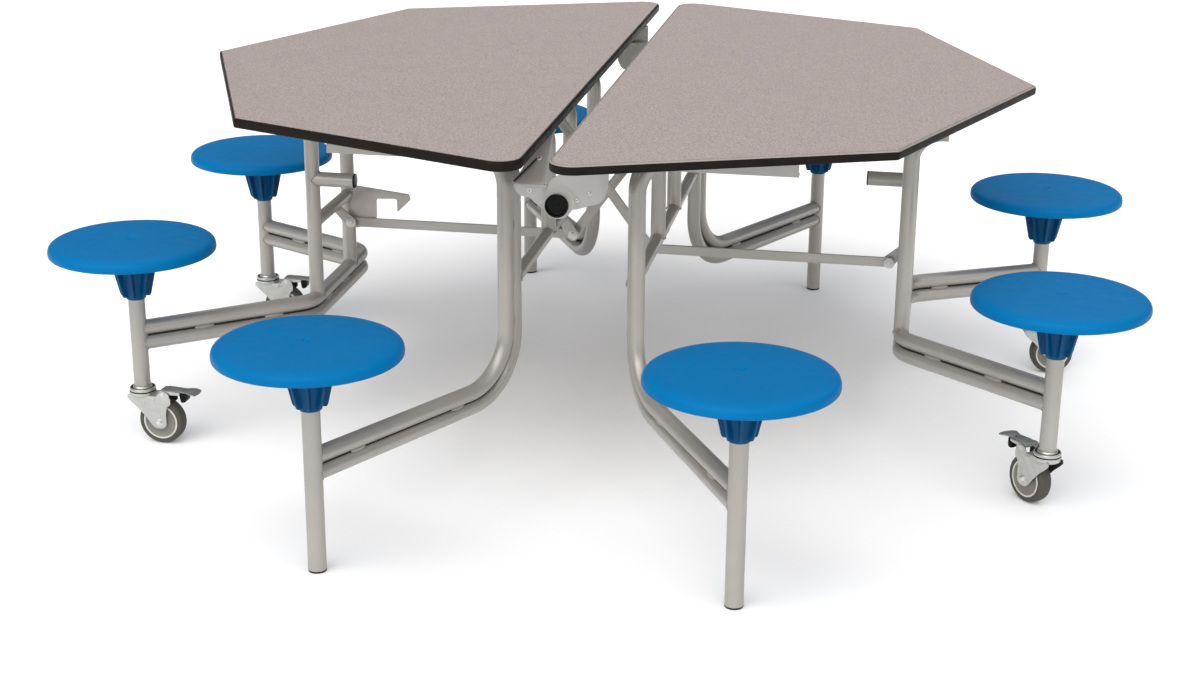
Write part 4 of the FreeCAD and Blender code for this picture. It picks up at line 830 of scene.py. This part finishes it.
for side in ("left", "right"):
    M = SIDE[side]
    body = "inner_frame_" + side
    heading = math.degrees(math.atan2(909.0 - 464.3, 370.0 - 125.7))
    for word, z, rx, ry, low_bend in (("upper", 217.0, 125.7, 464.3, 105.0), ("lower", 185.0, 117.4, 431.0, 122.0)):
        look = Look()
        for s in (-1, 1):
            line = riser_line(s, z, rx, ry)
            # the rail is drawn from the corner side, so it stops on the post's axis
            tube(look, line, [low_bend, BEND], RT, FRAME, M, 2.0, 40, (False, True))
            out = Vector(line[0]) - Vector(line[1])
            bead(look, saddle((-370.0, s * 909.0, 0), (0, 0, 1), RP, Vector(line[1]) + out * 0.5, out, RT), M, 2.0)
            if word == "lower":
                middle = riser_line(s, 201.0, 121.55, 447.65)
                flat = Vector(middle[1]) - Vector(middle[0])
                rise = trace([middle[0], middle[1], (middle[1][0], middle[1][1], 585.0)], [113.5])
                # painted shade along the slot between the rails and on up between the risers
                painted_slot_shade(look, rise, M, flat.cross(UP).normalized())
                for t in (0.20, 0.70):
                    weld_pad(look, -370.0 + (370.0 - 122.5) * t, s * (909.0 - (909.0 - 452.0) * t), 201.0, s * (180.0 - heading) if s > 0 else heading, 36.0, M)
                # stitches between the two risers
                for zz in (330.0, 520.0):
                    place = M @ Matrix.Translation((-121.55, s * 447.65, zz)) @ Matrix.Rotation(math.radians(76.0 if s < 0 else -76.0), 4, "Z")
                    for q in (-1, 1):
                        work = bmesh.new()
                        bmesh.ops.create_uvsphere(work, u_segments=16, v_segments=12, radius=1.0)
                        for v in work.verts:
                            v.co = Vector((v.co.x * 5.0, v.co.y * 4.4, v.co.z * 13.0)) * MM
                        take(work, look, WELD, place @ Matrix.Translation((0, q * 6.2, 0)))
            y = s * 428.0
            if word == "upper":
                pair = (12.0, 16.0) if s > 0 else (-16.0, -12.0)
                ears(look, -168.0, y, [pair], (-18.0, 18.0), M)
            else:
                pair = (-16.0, -12.0) if s > 0 else (12.0, 16.0)
                outline = rounded([(-181, 656.0), (-155, 656.0), (-155, 682.0), (-159, 690.0), (-177, 690.0), (-181, 682.0)], [0, 0, 6, 8, 8, 6])
                plate_xz(look, [outline, circle(-168.0, 681.7, 4.1, 20)], y + pair[0], y + pair[1], FRAME, M, 0.6)
        look.finish("inner_rails_%s_look_%s" % (word, side), body, ["inner_rails_%s_%s" % (word, side)], "frame_grey")

    look = Look()
    for s in (-1, 1):
        tube(look, [(-370.0, s * 909.0, 4.0), (-370.0, s * 909.0, 352.0)], [], RP, FRAME, M, 2.0, 44)
    look.finish("inner_posts_look_" + side, body, ["inner_posts_" + side], "frame_grey")

    look = Look()
    tube(look, [(-113.5, -423.0, 412.0), (-113.5, 423.0, 412.0)], [], 12.5, FRAME, M, 2.0, 36, (False, False))
    for s in (-1, 1):
        bead(look, saddle((-117.4, s * 431.0, 0), (0, 0, 1), RT, (-113.5, s * 300.0, 412.0), (0, s, 0), 12.5), M, 1.9)
        tube(look, [(-113.5, s * 115.0, 413.0), (-113.5, s * 115.0, ARM), (-190.0, s * 115.0, ARM)], [BEND], RT, FRAME, M, 2.0, 40, (False, True))
        bead(look, [(-113.5 + 15.2 * math.cos(a), s * 115.0 + 15.2 * math.sin(a), 412.0 + math.sqrt(max(12.5 ** 2 - min(12.4, abs(15.2 * math.cos(a))) ** 2, 0.0)))
                    for a in [2 * math.pi * k / 48 for k in range(48)]], M, 1.9)
        ears(look, -168.0, s * 115.0, [(-14.4, -10.4), (10.4, 14.4)], (-16.0, 16.0), M)
    lug(look, -90.0, 366.0, -113.5, 412.0, M)
    look.finish("inner_struts_look_" + side, body, ["inner_struts_" + side], "frame_grey")

    look = Look()
    for s in (-1, 1):
        lathe(look, [(0.0, 0.0), (14.4, 0.0), (15.6, 0.4), (16.3, 1.2), (16.5, 2.2), (16.5, 3.8), (16.3, 4.0), (14.4, 4.0), (14.4, 15.0), (13.4, 16.0), (0.0, 16.0)], FOOT,
              M @ Matrix.Translation((-370.0, s * 909.0, 0)), 48)
    look.finish("foot_caps_look_" + side, body, ["foot_caps_" + side], "foot_dark")

# -------------------------------------------------- tie bars, links and latch


def strap(look, length, near, far, holes, where):
    outline = rounded([(-10, -10), (length + 10, -10), (length + 10, 10), (-10, 10)], 9.9)
    loops = [outline] + [circle(x, 0, r, 24) for x, r in holes]
    plate_xz(look, loops, near, far, FRAME, where, 0.7)


for side in ("left", "right"):
    M = SIDE[side]
    look = Look()
    strap(look, 490.0, 34.5, 39.5, [(0.0, 5.35), (490.0, 5.05)], M @ Matrix.Translation((-580.0, 0, 366.0)))
    look.finish("tie_bar_look_" + side, "tie_bar_" + side, ["tie_bar_" + side], "frame_grey")
    dx, dz = 215.0, 659.05 - 366.0
    look = Look()
    rot = Matrix.Rotation(-math.atan2(dz, dx), 4, "Y")
    strap(look, math.hypot(dx, dz), 40.5, 45.5, [(0.0, 5.05), (math.hypot(dx, dz), 5.35)], M @ Matrix.Translation((-90.0, 0, 366.0)) @ rot)
    look.finish("cross_link_look_" + side, "cross_link_" + side, ["cross_link_" + side], "frame_grey")

look = Look()
hook = rounded([(-572, 446), (-453, 432), (-449, 420), (-479, 391), (-479, 421), (-525, 419), (-526, 377), (-530, 361), (-570, 352), (-590, 352), (-594, 366), (-590, 380)],
               [7, 4, 4, 1.5, 5, 5, 4, 8, 8, 8, 6, 8])
plate_xz(look, [hook, circle(-580.0, 366.0, 5.05, 24)], 40.5, 45.5, FRAME, IDENT, 0.7)
look.finish("latch_hook_look", "latch_hook", ["latch_hook"], "frame_grey")

# ------------------------------------------------------------------- the seats

CORNERS = (("left_front", -1, -1), ("left_back", -1, 1), ("right_front", 1, -1), ("right_back", 1, 1))


def seat_profile():
    top = []
    for r, z in ((0.0, 429.9), (3.0, 429.9), (3.6, 429.2), (7.6, 429.2), (8.4, 429.6), (9.2, 430.7), (10.2, 431.0), (22.0, 430.98), (40.0, 430.85), (60.0, 430.6),
                 (80.0, 430.25), (100.0, 429.75), (118.0, 429.1), (132.0, 428.4), (142.0, 427.6), (149.0, 426.6), (154.0, 425.3), (158.0, 423.5),
                 (161.0, 421.2), (163.0, 418.4), (164.1, 415.2), (164.5, 411.8), (164.6, 408.6), (164.2, 406.2), (163.2, 404.9), (161.8, 404.5),
                 (160.6, 404.9), (160.0, 406.2), (159.4, 410.0), (157.6, 414.6), (153.6, 418.2), (147.0, 420.4), (136.0, 421.8), (110.0, 423.0), (70.0, 423.8),
                 (34.0, 424.2)):
        top.append((r, z))
    return top


def fluted_hub(look, mat, where):
    """Hub cone with eight ribs standing out of a slimmer core."""
    levels = [(424.2, 36.0, 53.5), (415.0, 34.5, 52.6), (405.0, 33.5, 51.5), (392.0, 31.8, 48.4), (380.0, 30.2, 45.6), (366.0, 28.4, 42.4), (352.0, 26.6, 39.4),
              (340.0, 24.8, 36.6), (328.0, 22.6, 33.8), (318.0, 20.8, 31.6), (313.2, 20.1, 29.6), (312.0, 19.95, 28.0)]
    spread_deg = []
    for rib in range(8):
        centre = rib * 45.0
        for offset, lift in ((-22.5, 0.0), (-15.0, 0.0), (-9.5, 0.0), (-6.6, 0.10), (-5.2, 0.55), (-4.3, 0.93), (-2.4, 1.0), (0.0, 1.0), (2.4, 1.0), (4.3, 0.93), (5.2, 0.55),
                             (6.6, 0.10), (9.5, 0.0), (15.0, 0.0)):
            spread_deg.append((centre + offset, lift))
    around = len(spread_deg)
    verts, faces = [], []
    for z, core, rib in levels:
        for angle, lift in spread_deg:
            # ribs keep nearly the same thickness from core to tip
            narrow = 1.0 if lift == 0.0 else (38.0 / rib)
            base = round(angle / 45.0) * 45.0
            a = math.radians(base + (angle - base) * (narrow if abs(angle - base) < 9.0 else 1.0))
            r = core + (rib - core) * lift
            verts.append((r * math.cos(a), r * math.sin(a), z))
    for n in range(len(levels) - 1):
        faces.extend(bridge(n * around, (n + 1) * around, around))
    last = (len(levels) - 1) * around
    ring0 = len(verts)
    for angle, lift in spread_deg:
        a = math.radians(angle)
        verts.append((19.6 * math.cos(a), 19.6 * math.sin(a), 311.6))
    faces.extend(bridge(last, ring0, around))
    look.add(verts, faces, mat, where)
    lathe(look, [(19.0, 318.0), (19.8, 312.0), (19.8, 307.0), (19.2, 306.0), (16.6, 306.0), (16.6, 318.0)], mat, where, 56)


for name, sx, sy in CORNERS:
    for kind, px, py in (("outer", 904.0, 386.0), ("inner", 370.0, 909.0)):
        node = "seat_%s_%s" % (kind, name)
        place = Matrix.Translation((sx * px, sy * py, 0)) @ Matrix.Rotation(math.radians(11.0), 4, "Z")
        look = Look()
        lathe(look, seat_profile(), SEAT, place, 128)
        # the hub takes the darker copy of the seat blue, painted shade
        fluted_hub(look, SHADED_HUB_BLUE, place)
        for k in range(8):
            rot = place @ Matrix.Rotation(math.radians(45.0 * k), 4, "Z")
            take_points = [(50.0, 424.5), (50.0, 412.0), (90.0, 416.5), (140.0, 419.0), (152.0, 419.5), (152.0, 422.0), (120.0, 423.5)]
            plate_xz(look, [take_points], -1.25, 1.25, SEAT, rot, 0.3)
        look.finish(node + "_look", node, [node], "seat_blue", 38.0)

# ----------------------------------------------------------------- the castors

HEADINGS = {"left_front": -3.5, "left_back": 0.0, "right_front": 129.0, "right_back": 10.0}


def sprung(work, function):
    for v in work.verts:
        v.co = Vector(function(v.co.x / MM, v.co.y / MM, v.co.z / MM)) * MM
    return work


def sliced(work, low, high, step):
    at = low
    while at < high:
        bmesh.ops.bisect_plane(work, geom=list(work.verts) + list(work.edges) + list(work.faces), plane_co=Vector((at * MM, 0, 0)), plane_no=Vector((1, 0, 0)), dist=1e-6)
        at += step
    return work


for name, sx, sy in CORNERS:
    place = Matrix.Translation((sx * 904.0, sy * 386.0, 0)) @ Matrix.Rotation(math.radians(HEADINGS[name]), 4, "Z")
    look = Look()
    # pressed cheeks: wide at the crown, narrow at the axle, with an ear for the pedal pin
    cheek = rounded([(-25.0, 103.5), (-26.5, 97.0), (-18.0, 88.0), (-2.0, 74.0), (14.0, 56.0), (25.0, 41.0), (33.0, 34.5), (49.0, 34.5), (56.5, 42.0), (57.0, 70.0), (60.0, 82.0),
                     (67.5, 88.0), (67.5, 100.0), (63.0, 113.0), (52.0, 116.0), (43.0, 112.0), (38.0, 103.5)],
                    [2, 4, 8, 14, 20, 12, 10, 10, 12, 16, 6, 5, 6, 6, 8, 6, 4])
    for low, high, inner in ((-19.6, -17.5, -17.3), (17.5, 19.6, 17.3)):
        plate_xz(look, [cheek], low, high, ZINC, place, 0.6)
        # inside each cheek, a thin near-black sheet of painted shade
        plate_xz(look, [cheek], min(inner, inner * 0.985), max(inner, inner * 0.985), PAINTED_SHADE, place, 0.05)
    # shoulder that joins the cheeks below the race
    shoulder = [(-24.5, -12.0), (-18.0, -18.5), (0.0, -19.3), (38.0, -19.3), (38.0, 19.3), (0.0, 19.3), (-18.0, 18.5), (-24.5, 12.0), (-26.8, 0.0)]
    take(sheet_mesh([rounded(shoulder, 5.0)], 4.2, 1.2), look, ZINC, place @ Matrix.Translation((0, 0, 101.6)))
    # a thin near-black sheet of painted shade under the shoulder, above the wheel
    take(sheet_mesh([rounded([(x * 0.93, y * 0.93) for x, y in shoulder], 5.0)], 0.5, 0.1), look, PAINTED_SHADE, place @ Matrix.Translation((0, 0, 99.3)))
    races = [(0.0, 99.4), (20.0, 99.4), (24.5, 100.6), (26.6, 103.0), (27.0, 104.6), (27.0, 107.4), (26.6, 108.6), (25.0, 109.0), (24.6, 110.8), (26.2, 111.2), (26.5, 112.4),
             (26.5, 114.6), (25.6, 116.2), (23.8, 116.8), (21.8, 116.0), (20.6, 115.0), (19.8, 115.8), (19.6, 117.4), (18.6, 119.6), (17.4, 120.6), (14.4, 120.7), (14.4, 160.0),
             (11.0, 162.0), (0.0, 162.0)]
    # the two grooves in the race are coloured with painted shade; the rest is zinc
    for first, last, finish in ((0, 6, ZINC), (6, 9, PAINTED_SHADE), (9, 13, ZINC), (13, 16, PAINTED_SHADE), (16, 23, ZINC)):
        lathe(look, races[first:last + 1], finish, place, 72)
    tube(look, [(41.0, -22.5, 47.5), (41.0, 24.5, 47.5)], [], 4.0, STEEL, place, 1.0, 20, (False, False))
    hex_head(look, (41.0, -19.5, 47.5), (0, -1, 0), 6.6, 5.0, place)
    hex_head(look, (41.0, 19.5, 47.5), (0, 1, 0), 6.6, 5.4, place)
    for y, s in ((-19.5, -1), (19.5, 1)):
        lathe(look, [(0.0, 0.0), (4.2, 0.0), (4.2, 0.9), (3.0, 1.6), (0.0, 1.8)], ZINC, place @ along((30.0, y, 97.0), (0, s, 0)), 20)
    look.finish("castor_fork_look_" + name, "castor_fork_" + name, ["castor_fork_" + name], "zinc")

    wheel = place @ Matrix.Translation((41.0, 0, 47.5)) @ Matrix.Rotation(math.radians(90.0), 4, "X")
    look = Look()
    lathe(look, [(36.6, -12.0), (37.6, -14.2), (39.4, -14.9), (41.6, -14.7), (43.8, -13.9), (45.6, -12.3), (46.8, -10.0), (47.35, -7.0), (47.5, -3.5), (47.5, 3.5),
                 (47.35, 7.0), (46.8, 10.0), (45.6, 12.3), (43.8, 13.9), (41.6, 14.7), (39.4, 14.9), (37.6, 14.2), (36.6, 12.0), (36.6, -12.0)], TYRE, wheel, 96)
    look.finish("castor_tyre_look_" + name, "castor_wheel_" + name, ["castor_tyre_" + name], "tyre_grey")
    look = Look()
    lathe(look, [(4.1, -16.6), (9.6, -16.6), (10.6, -16.2), (11.2, -15.2), (11.6, -13.0), (12.6, -11.4), (14.6, -10.6), (22.0, -10.2), (27.0, -10.6), (29.4, -11.8), (30.6, -13.2),
                 (31.4, -13.6), (33.2, -13.6)], CORE, wheel, 80)
    lathe(look, [(33.2, -13.6), (33.8, -14.3), (34.8, -14.6), (35.8, -14.4), (36.5, -13.8), (36.7, -12.8)], RING, wheel, 80)
    lathe(look, [(36.7, -12.8), (36.7, 12.8)], CORE, wheel, 80)
    lathe(look, [(36.7, 12.8), (36.5, 13.8), (35.8, 14.4), (34.8, 14.6), (33.8, 14.3), (33.2, 13.6)], RING, wheel, 80)
    lathe(look, [(33.2, 13.6), (31.4, 13.6), (30.6, 13.2), (29.4, 11.8), (27.0, 10.6), (22.0, 10.2), (14.6, 10.6), (12.6, 11.4), (11.6, 13.0), (11.2, 15.2), (10.6, 16.2),
                 (9.6, 16.6), (4.1, 16.6), (4.1, -16.6)], CORE, wheel, 80)
    look.finish("castor_wheel_core_look_" + name, "castor_wheel_" + name, ["castor_wheel_core_" + name], "wheel_core")

    look = Look()
    plan = rounded([(44.0, -15.0), (66.0, -15.4), (88.0, -12.5), (97.0, -13.0), (110.0, -19.0), (122.0, -18.0), (125.0, 0.0), (122.0, 18.0), (110.0, 19.0), (97.0, 13.0), (88.0, 12.5),
                    (66.0, 15.4), (44.0, 15.0)], [4, 8, 10, 8, 8, 6, 20, 6, 8, 8, 10, 8, 4])
    work = sliced(sheet_mesh([plan], 2.4, 0.7), 44.0, 126.0, 3.0)

    def arch(x, y, z):
        crown = 1.6 * (1.0 - (y / 19.0) ** 2)
        if x < 92.0:
            lift = 115.0 + 0.6 * math.sin((x - 44.0) / 48.0 * math.pi)
        else:
            t = (x - 92.0) / 33.0
            lift = 115.0 + 1.4 * math.sin(t * math.pi) - 3.4 * t * t
        return (x, y, lift + z + crown - 1.0)
    take(sprung(work, arch), look, PEDAL, place)
    for s in (-1, 1):
        ear = rounded([(44.0, 115.6), (43.6, 107.0), (48.0, 103.6), (57.0, 103.6), (62.0, 108.0), (86.0, 109.0), (90.0, 114.6)], [1, 4, 4, 4, 6, 4, 2])
        plate_xz(look, [ear], s * 15.2 - 0.9, s * 15.2 + 0.9, ZINC, place, 0.4)
    tube(look, [(52.0, -20.6, 109.5), (52.0, 20.6, 109.5)], [], 3.0, STEEL, place, 1.0, 18, (False, False))
    for y, s in ((-20.4, -1), (20.4, 1)):
        lathe(look, [(0.0, -0.4), (4.4, -0.4), (4.4, 0.3), (3.2, 0.5), (0.0, 0.6)], STEEL, place @ along((52.0, y, 109.5), (0, s, 0)), 20)
    pad = rounded([(84.0, 113.4), (86.5, 99.0), (88.0, 93.6), (92.0, 92.2), (98.0, 94.5), (99.5, 101.0), (98.5, 113.4)], [1, 4, 2, 2, 4, 4, 1])
    plate_xz(look, [pad], -12.0, 12.0, BLACK, place, 1.4)
    look.finish("castor_pedal_look_" + name, "castor_pedal_" + name, ["castor_pedal_" + name], "zinc")

# ------------------------------------------------------ floor, light and camera

floor_mesh = bpy.data.meshes.new("floor")
floor_mesh.from_pydata([(-60, -60, 0), (60, -60, 0), (60, 60, 0), (-60, 60, 0)], [], [(0, 1, 2, 3)])
floor = bpy.data.objects.new("floor", floor_mesh)
bpy.context.scene.collection.objects.link(floor)
mat, tree, shader, coord = nodes_of("floor_paper")
# painted shade and painted light: a spherical gradient centred behind the table's middle darkens the floor's colour
# into a soft pool of shade and drives an emission glow that brightens the floor around it
ball = tree.nodes.new("ShaderNodeTexGradient")
ball.gradient_type = "SPHERICAL"
place_ball = tree.nodes.new("ShaderNodeMapping")
place_ball.inputs["Location"].default_value = (0.094, -0.500, 0.0)
place_ball.inputs["Scale"].default_value = (0.625, 0.500, 1.0)
tree.links.new(coord, place_ball.inputs["Vector"])
tree.links.new(place_ball.outputs["Vector"], ball.inputs["Vector"])
grain = mix(tree, noise(tree, coord, 1.2, 3.0), (0.98, 0.98, 0.98), (1.0, 1.0, 1.0))
painted_shade_pool = ramp(tree, ball.outputs["Fac"], [(0.0, (0.93, 0.93, 0.93)), (0.10, (0.945, 0.945, 0.945)), (0.20, (0.98, 0.98, 0.98)), (0.30, (0.985, 0.985, 0.985)), (0.456, (0.935, 0.935, 0.935)), (0.66, (0.92, 0.92, 0.92)), (0.80, (0.935, 0.935, 0.935))])
paper = mix(tree, 1.0, painted_shade_pool, grain, "MULTIPLY")
painted_glow = ramp(tree, ball.outputs["Fac"], [(0.0, (0.08, 0.08, 0.08)), (0.08, (0.09, 0.09, 0.09)), (0.20, (0.125, 0.125, 0.125)), (0.30, (0.10, 0.10, 0.10)), (0.456, (0.03, 0.03, 0.03)), (0.62, (0.0, 0.0, 0.0))])
tree.links.new(paper, shader.inputs["Base Color"])
tree.links.new(painted_glow, shader.inputs["Emission Color"])
shader.inputs["Emission Strength"].default_value = 1.0
shader.inputs["Roughness"].default_value = 0.85
shader.inputs["Specular IOR Level"].default_value = 0.1
floor_mesh.materials.append(mat)

world = bpy.data.worlds.new("studio")
bpy.context.scene.world = world
world.use_nodes = True
sky = world.node_tree
sky.nodes.clear()
sky_out = sky.nodes.new("ShaderNodeOutputWorld")
back = sky.nodes.new("ShaderNodeBackground")
sky.links.new(back.outputs["Background"], sky_out.inputs["Surface"])
towards = sky.nodes.new("ShaderNodeTexCoord")
parts = sky.nodes.new("ShaderNodeSeparateXYZ")
sky.links.new(towards.outputs["Generated"], parts.inputs["Vector"])


def sky_range(value, low, high, start, end):
    node = sky.nodes.new("ShaderNodeMapRange")
    node.interpolation_type = "SMOOTHSTEP"
    for key, number in (("From Min", low), ("From Max", high), ("To Min", start), ("To Max", end)):
        node.inputs[key].default_value = number
    sky.links.new(value, node.inputs["Value"])
    return node.outputs["Result"]


def sky_math(kind, a, b):
    node = sky.nodes.new("ShaderNodeMath")
    node.operation = kind
    for socket, value in zip(node.inputs, (a, b)):
        if isinstance(value, (int, float)):
            socket.default_value = value
        else:
            sky.links.new(value, socket)
    return node.outputs["Value"]


# a soft ceiling, a bright wall behind the camera and grey walls elsewhere
overhead = sky_range(parts.outputs["Z"], 0.10, 0.95, 0.0, 0.30)
walls = sky_range(parts.outputs["Y"], -0.85, 0.20, 0.50, 0.13)
sky.links.new(sky_math("ADD", overhead, walls), back.inputs["Strength"])
back.inputs["Color"].default_value = (1.0, 1.0, 1.0, 1.0)


def soft_sun(name, source, strength, spread_deg, colour=(1, 1, 1)):
    light = bpy.data.lights.new(name, "SUN")
    light.energy = strength
    light.angle = math.radians(spread_deg)
    light.color = colour
    obj = bpy.data.objects.new(name, light)
    obj.rotation_euler = Vector(source).to_track_quat("Z", "Y").to_euler()
    bpy.context.scene.collection.objects.link(obj)
    return obj


soft_sun("key", (-0.35, -0.95, 1.15), 2.45, 70.0, (1.0, 0.99, 0.975))
soft_sun("fill", (0.9, -0.6, 0.9), 0.62, 60.0)
soft_sun("rim", (0.1, 0.8, 1.2), 0.55, 70.0)

camera_data = bpy.data.cameras.new("camera")
camera_data.sensor_width = 36.0
camera_data.sensor_fit = "HORIZONTAL"
camera_data.lens = 36.0 * 1973.37 / 1200.0
camera_data.clip_start = 0.05
camera_data.clip_end = 80.0
camera = bpy.data.objects.new("camera", camera_data)
bpy.context.scene.collection.objects.link(camera)
yaw, pitch, roll = -0.1731, 0.3372, 0.0078
ahead = Vector((math.sin(yaw) * math.cos(pitch), math.cos(yaw) * math.cos(pitch), -math.sin(pitch)))
across = ahead.cross(UP).normalized()
over = across.cross(ahead)
across, over = math.cos(roll) * across + math.sin(roll) * over, -math.sin(roll) * across + math.cos(roll) * over
camera.matrix_world = Matrix(((across.x, over.x, -ahead.x, 0.6640), (across.y, over.y, -ahead.y, -3.9388), (across.z, over.z, -ahead.z, 1.5389), (0, 0, 0, 1)))
bpy.context.scene.camera = camera
bpy.context.scene.view_settings.view_transform = "Standard"
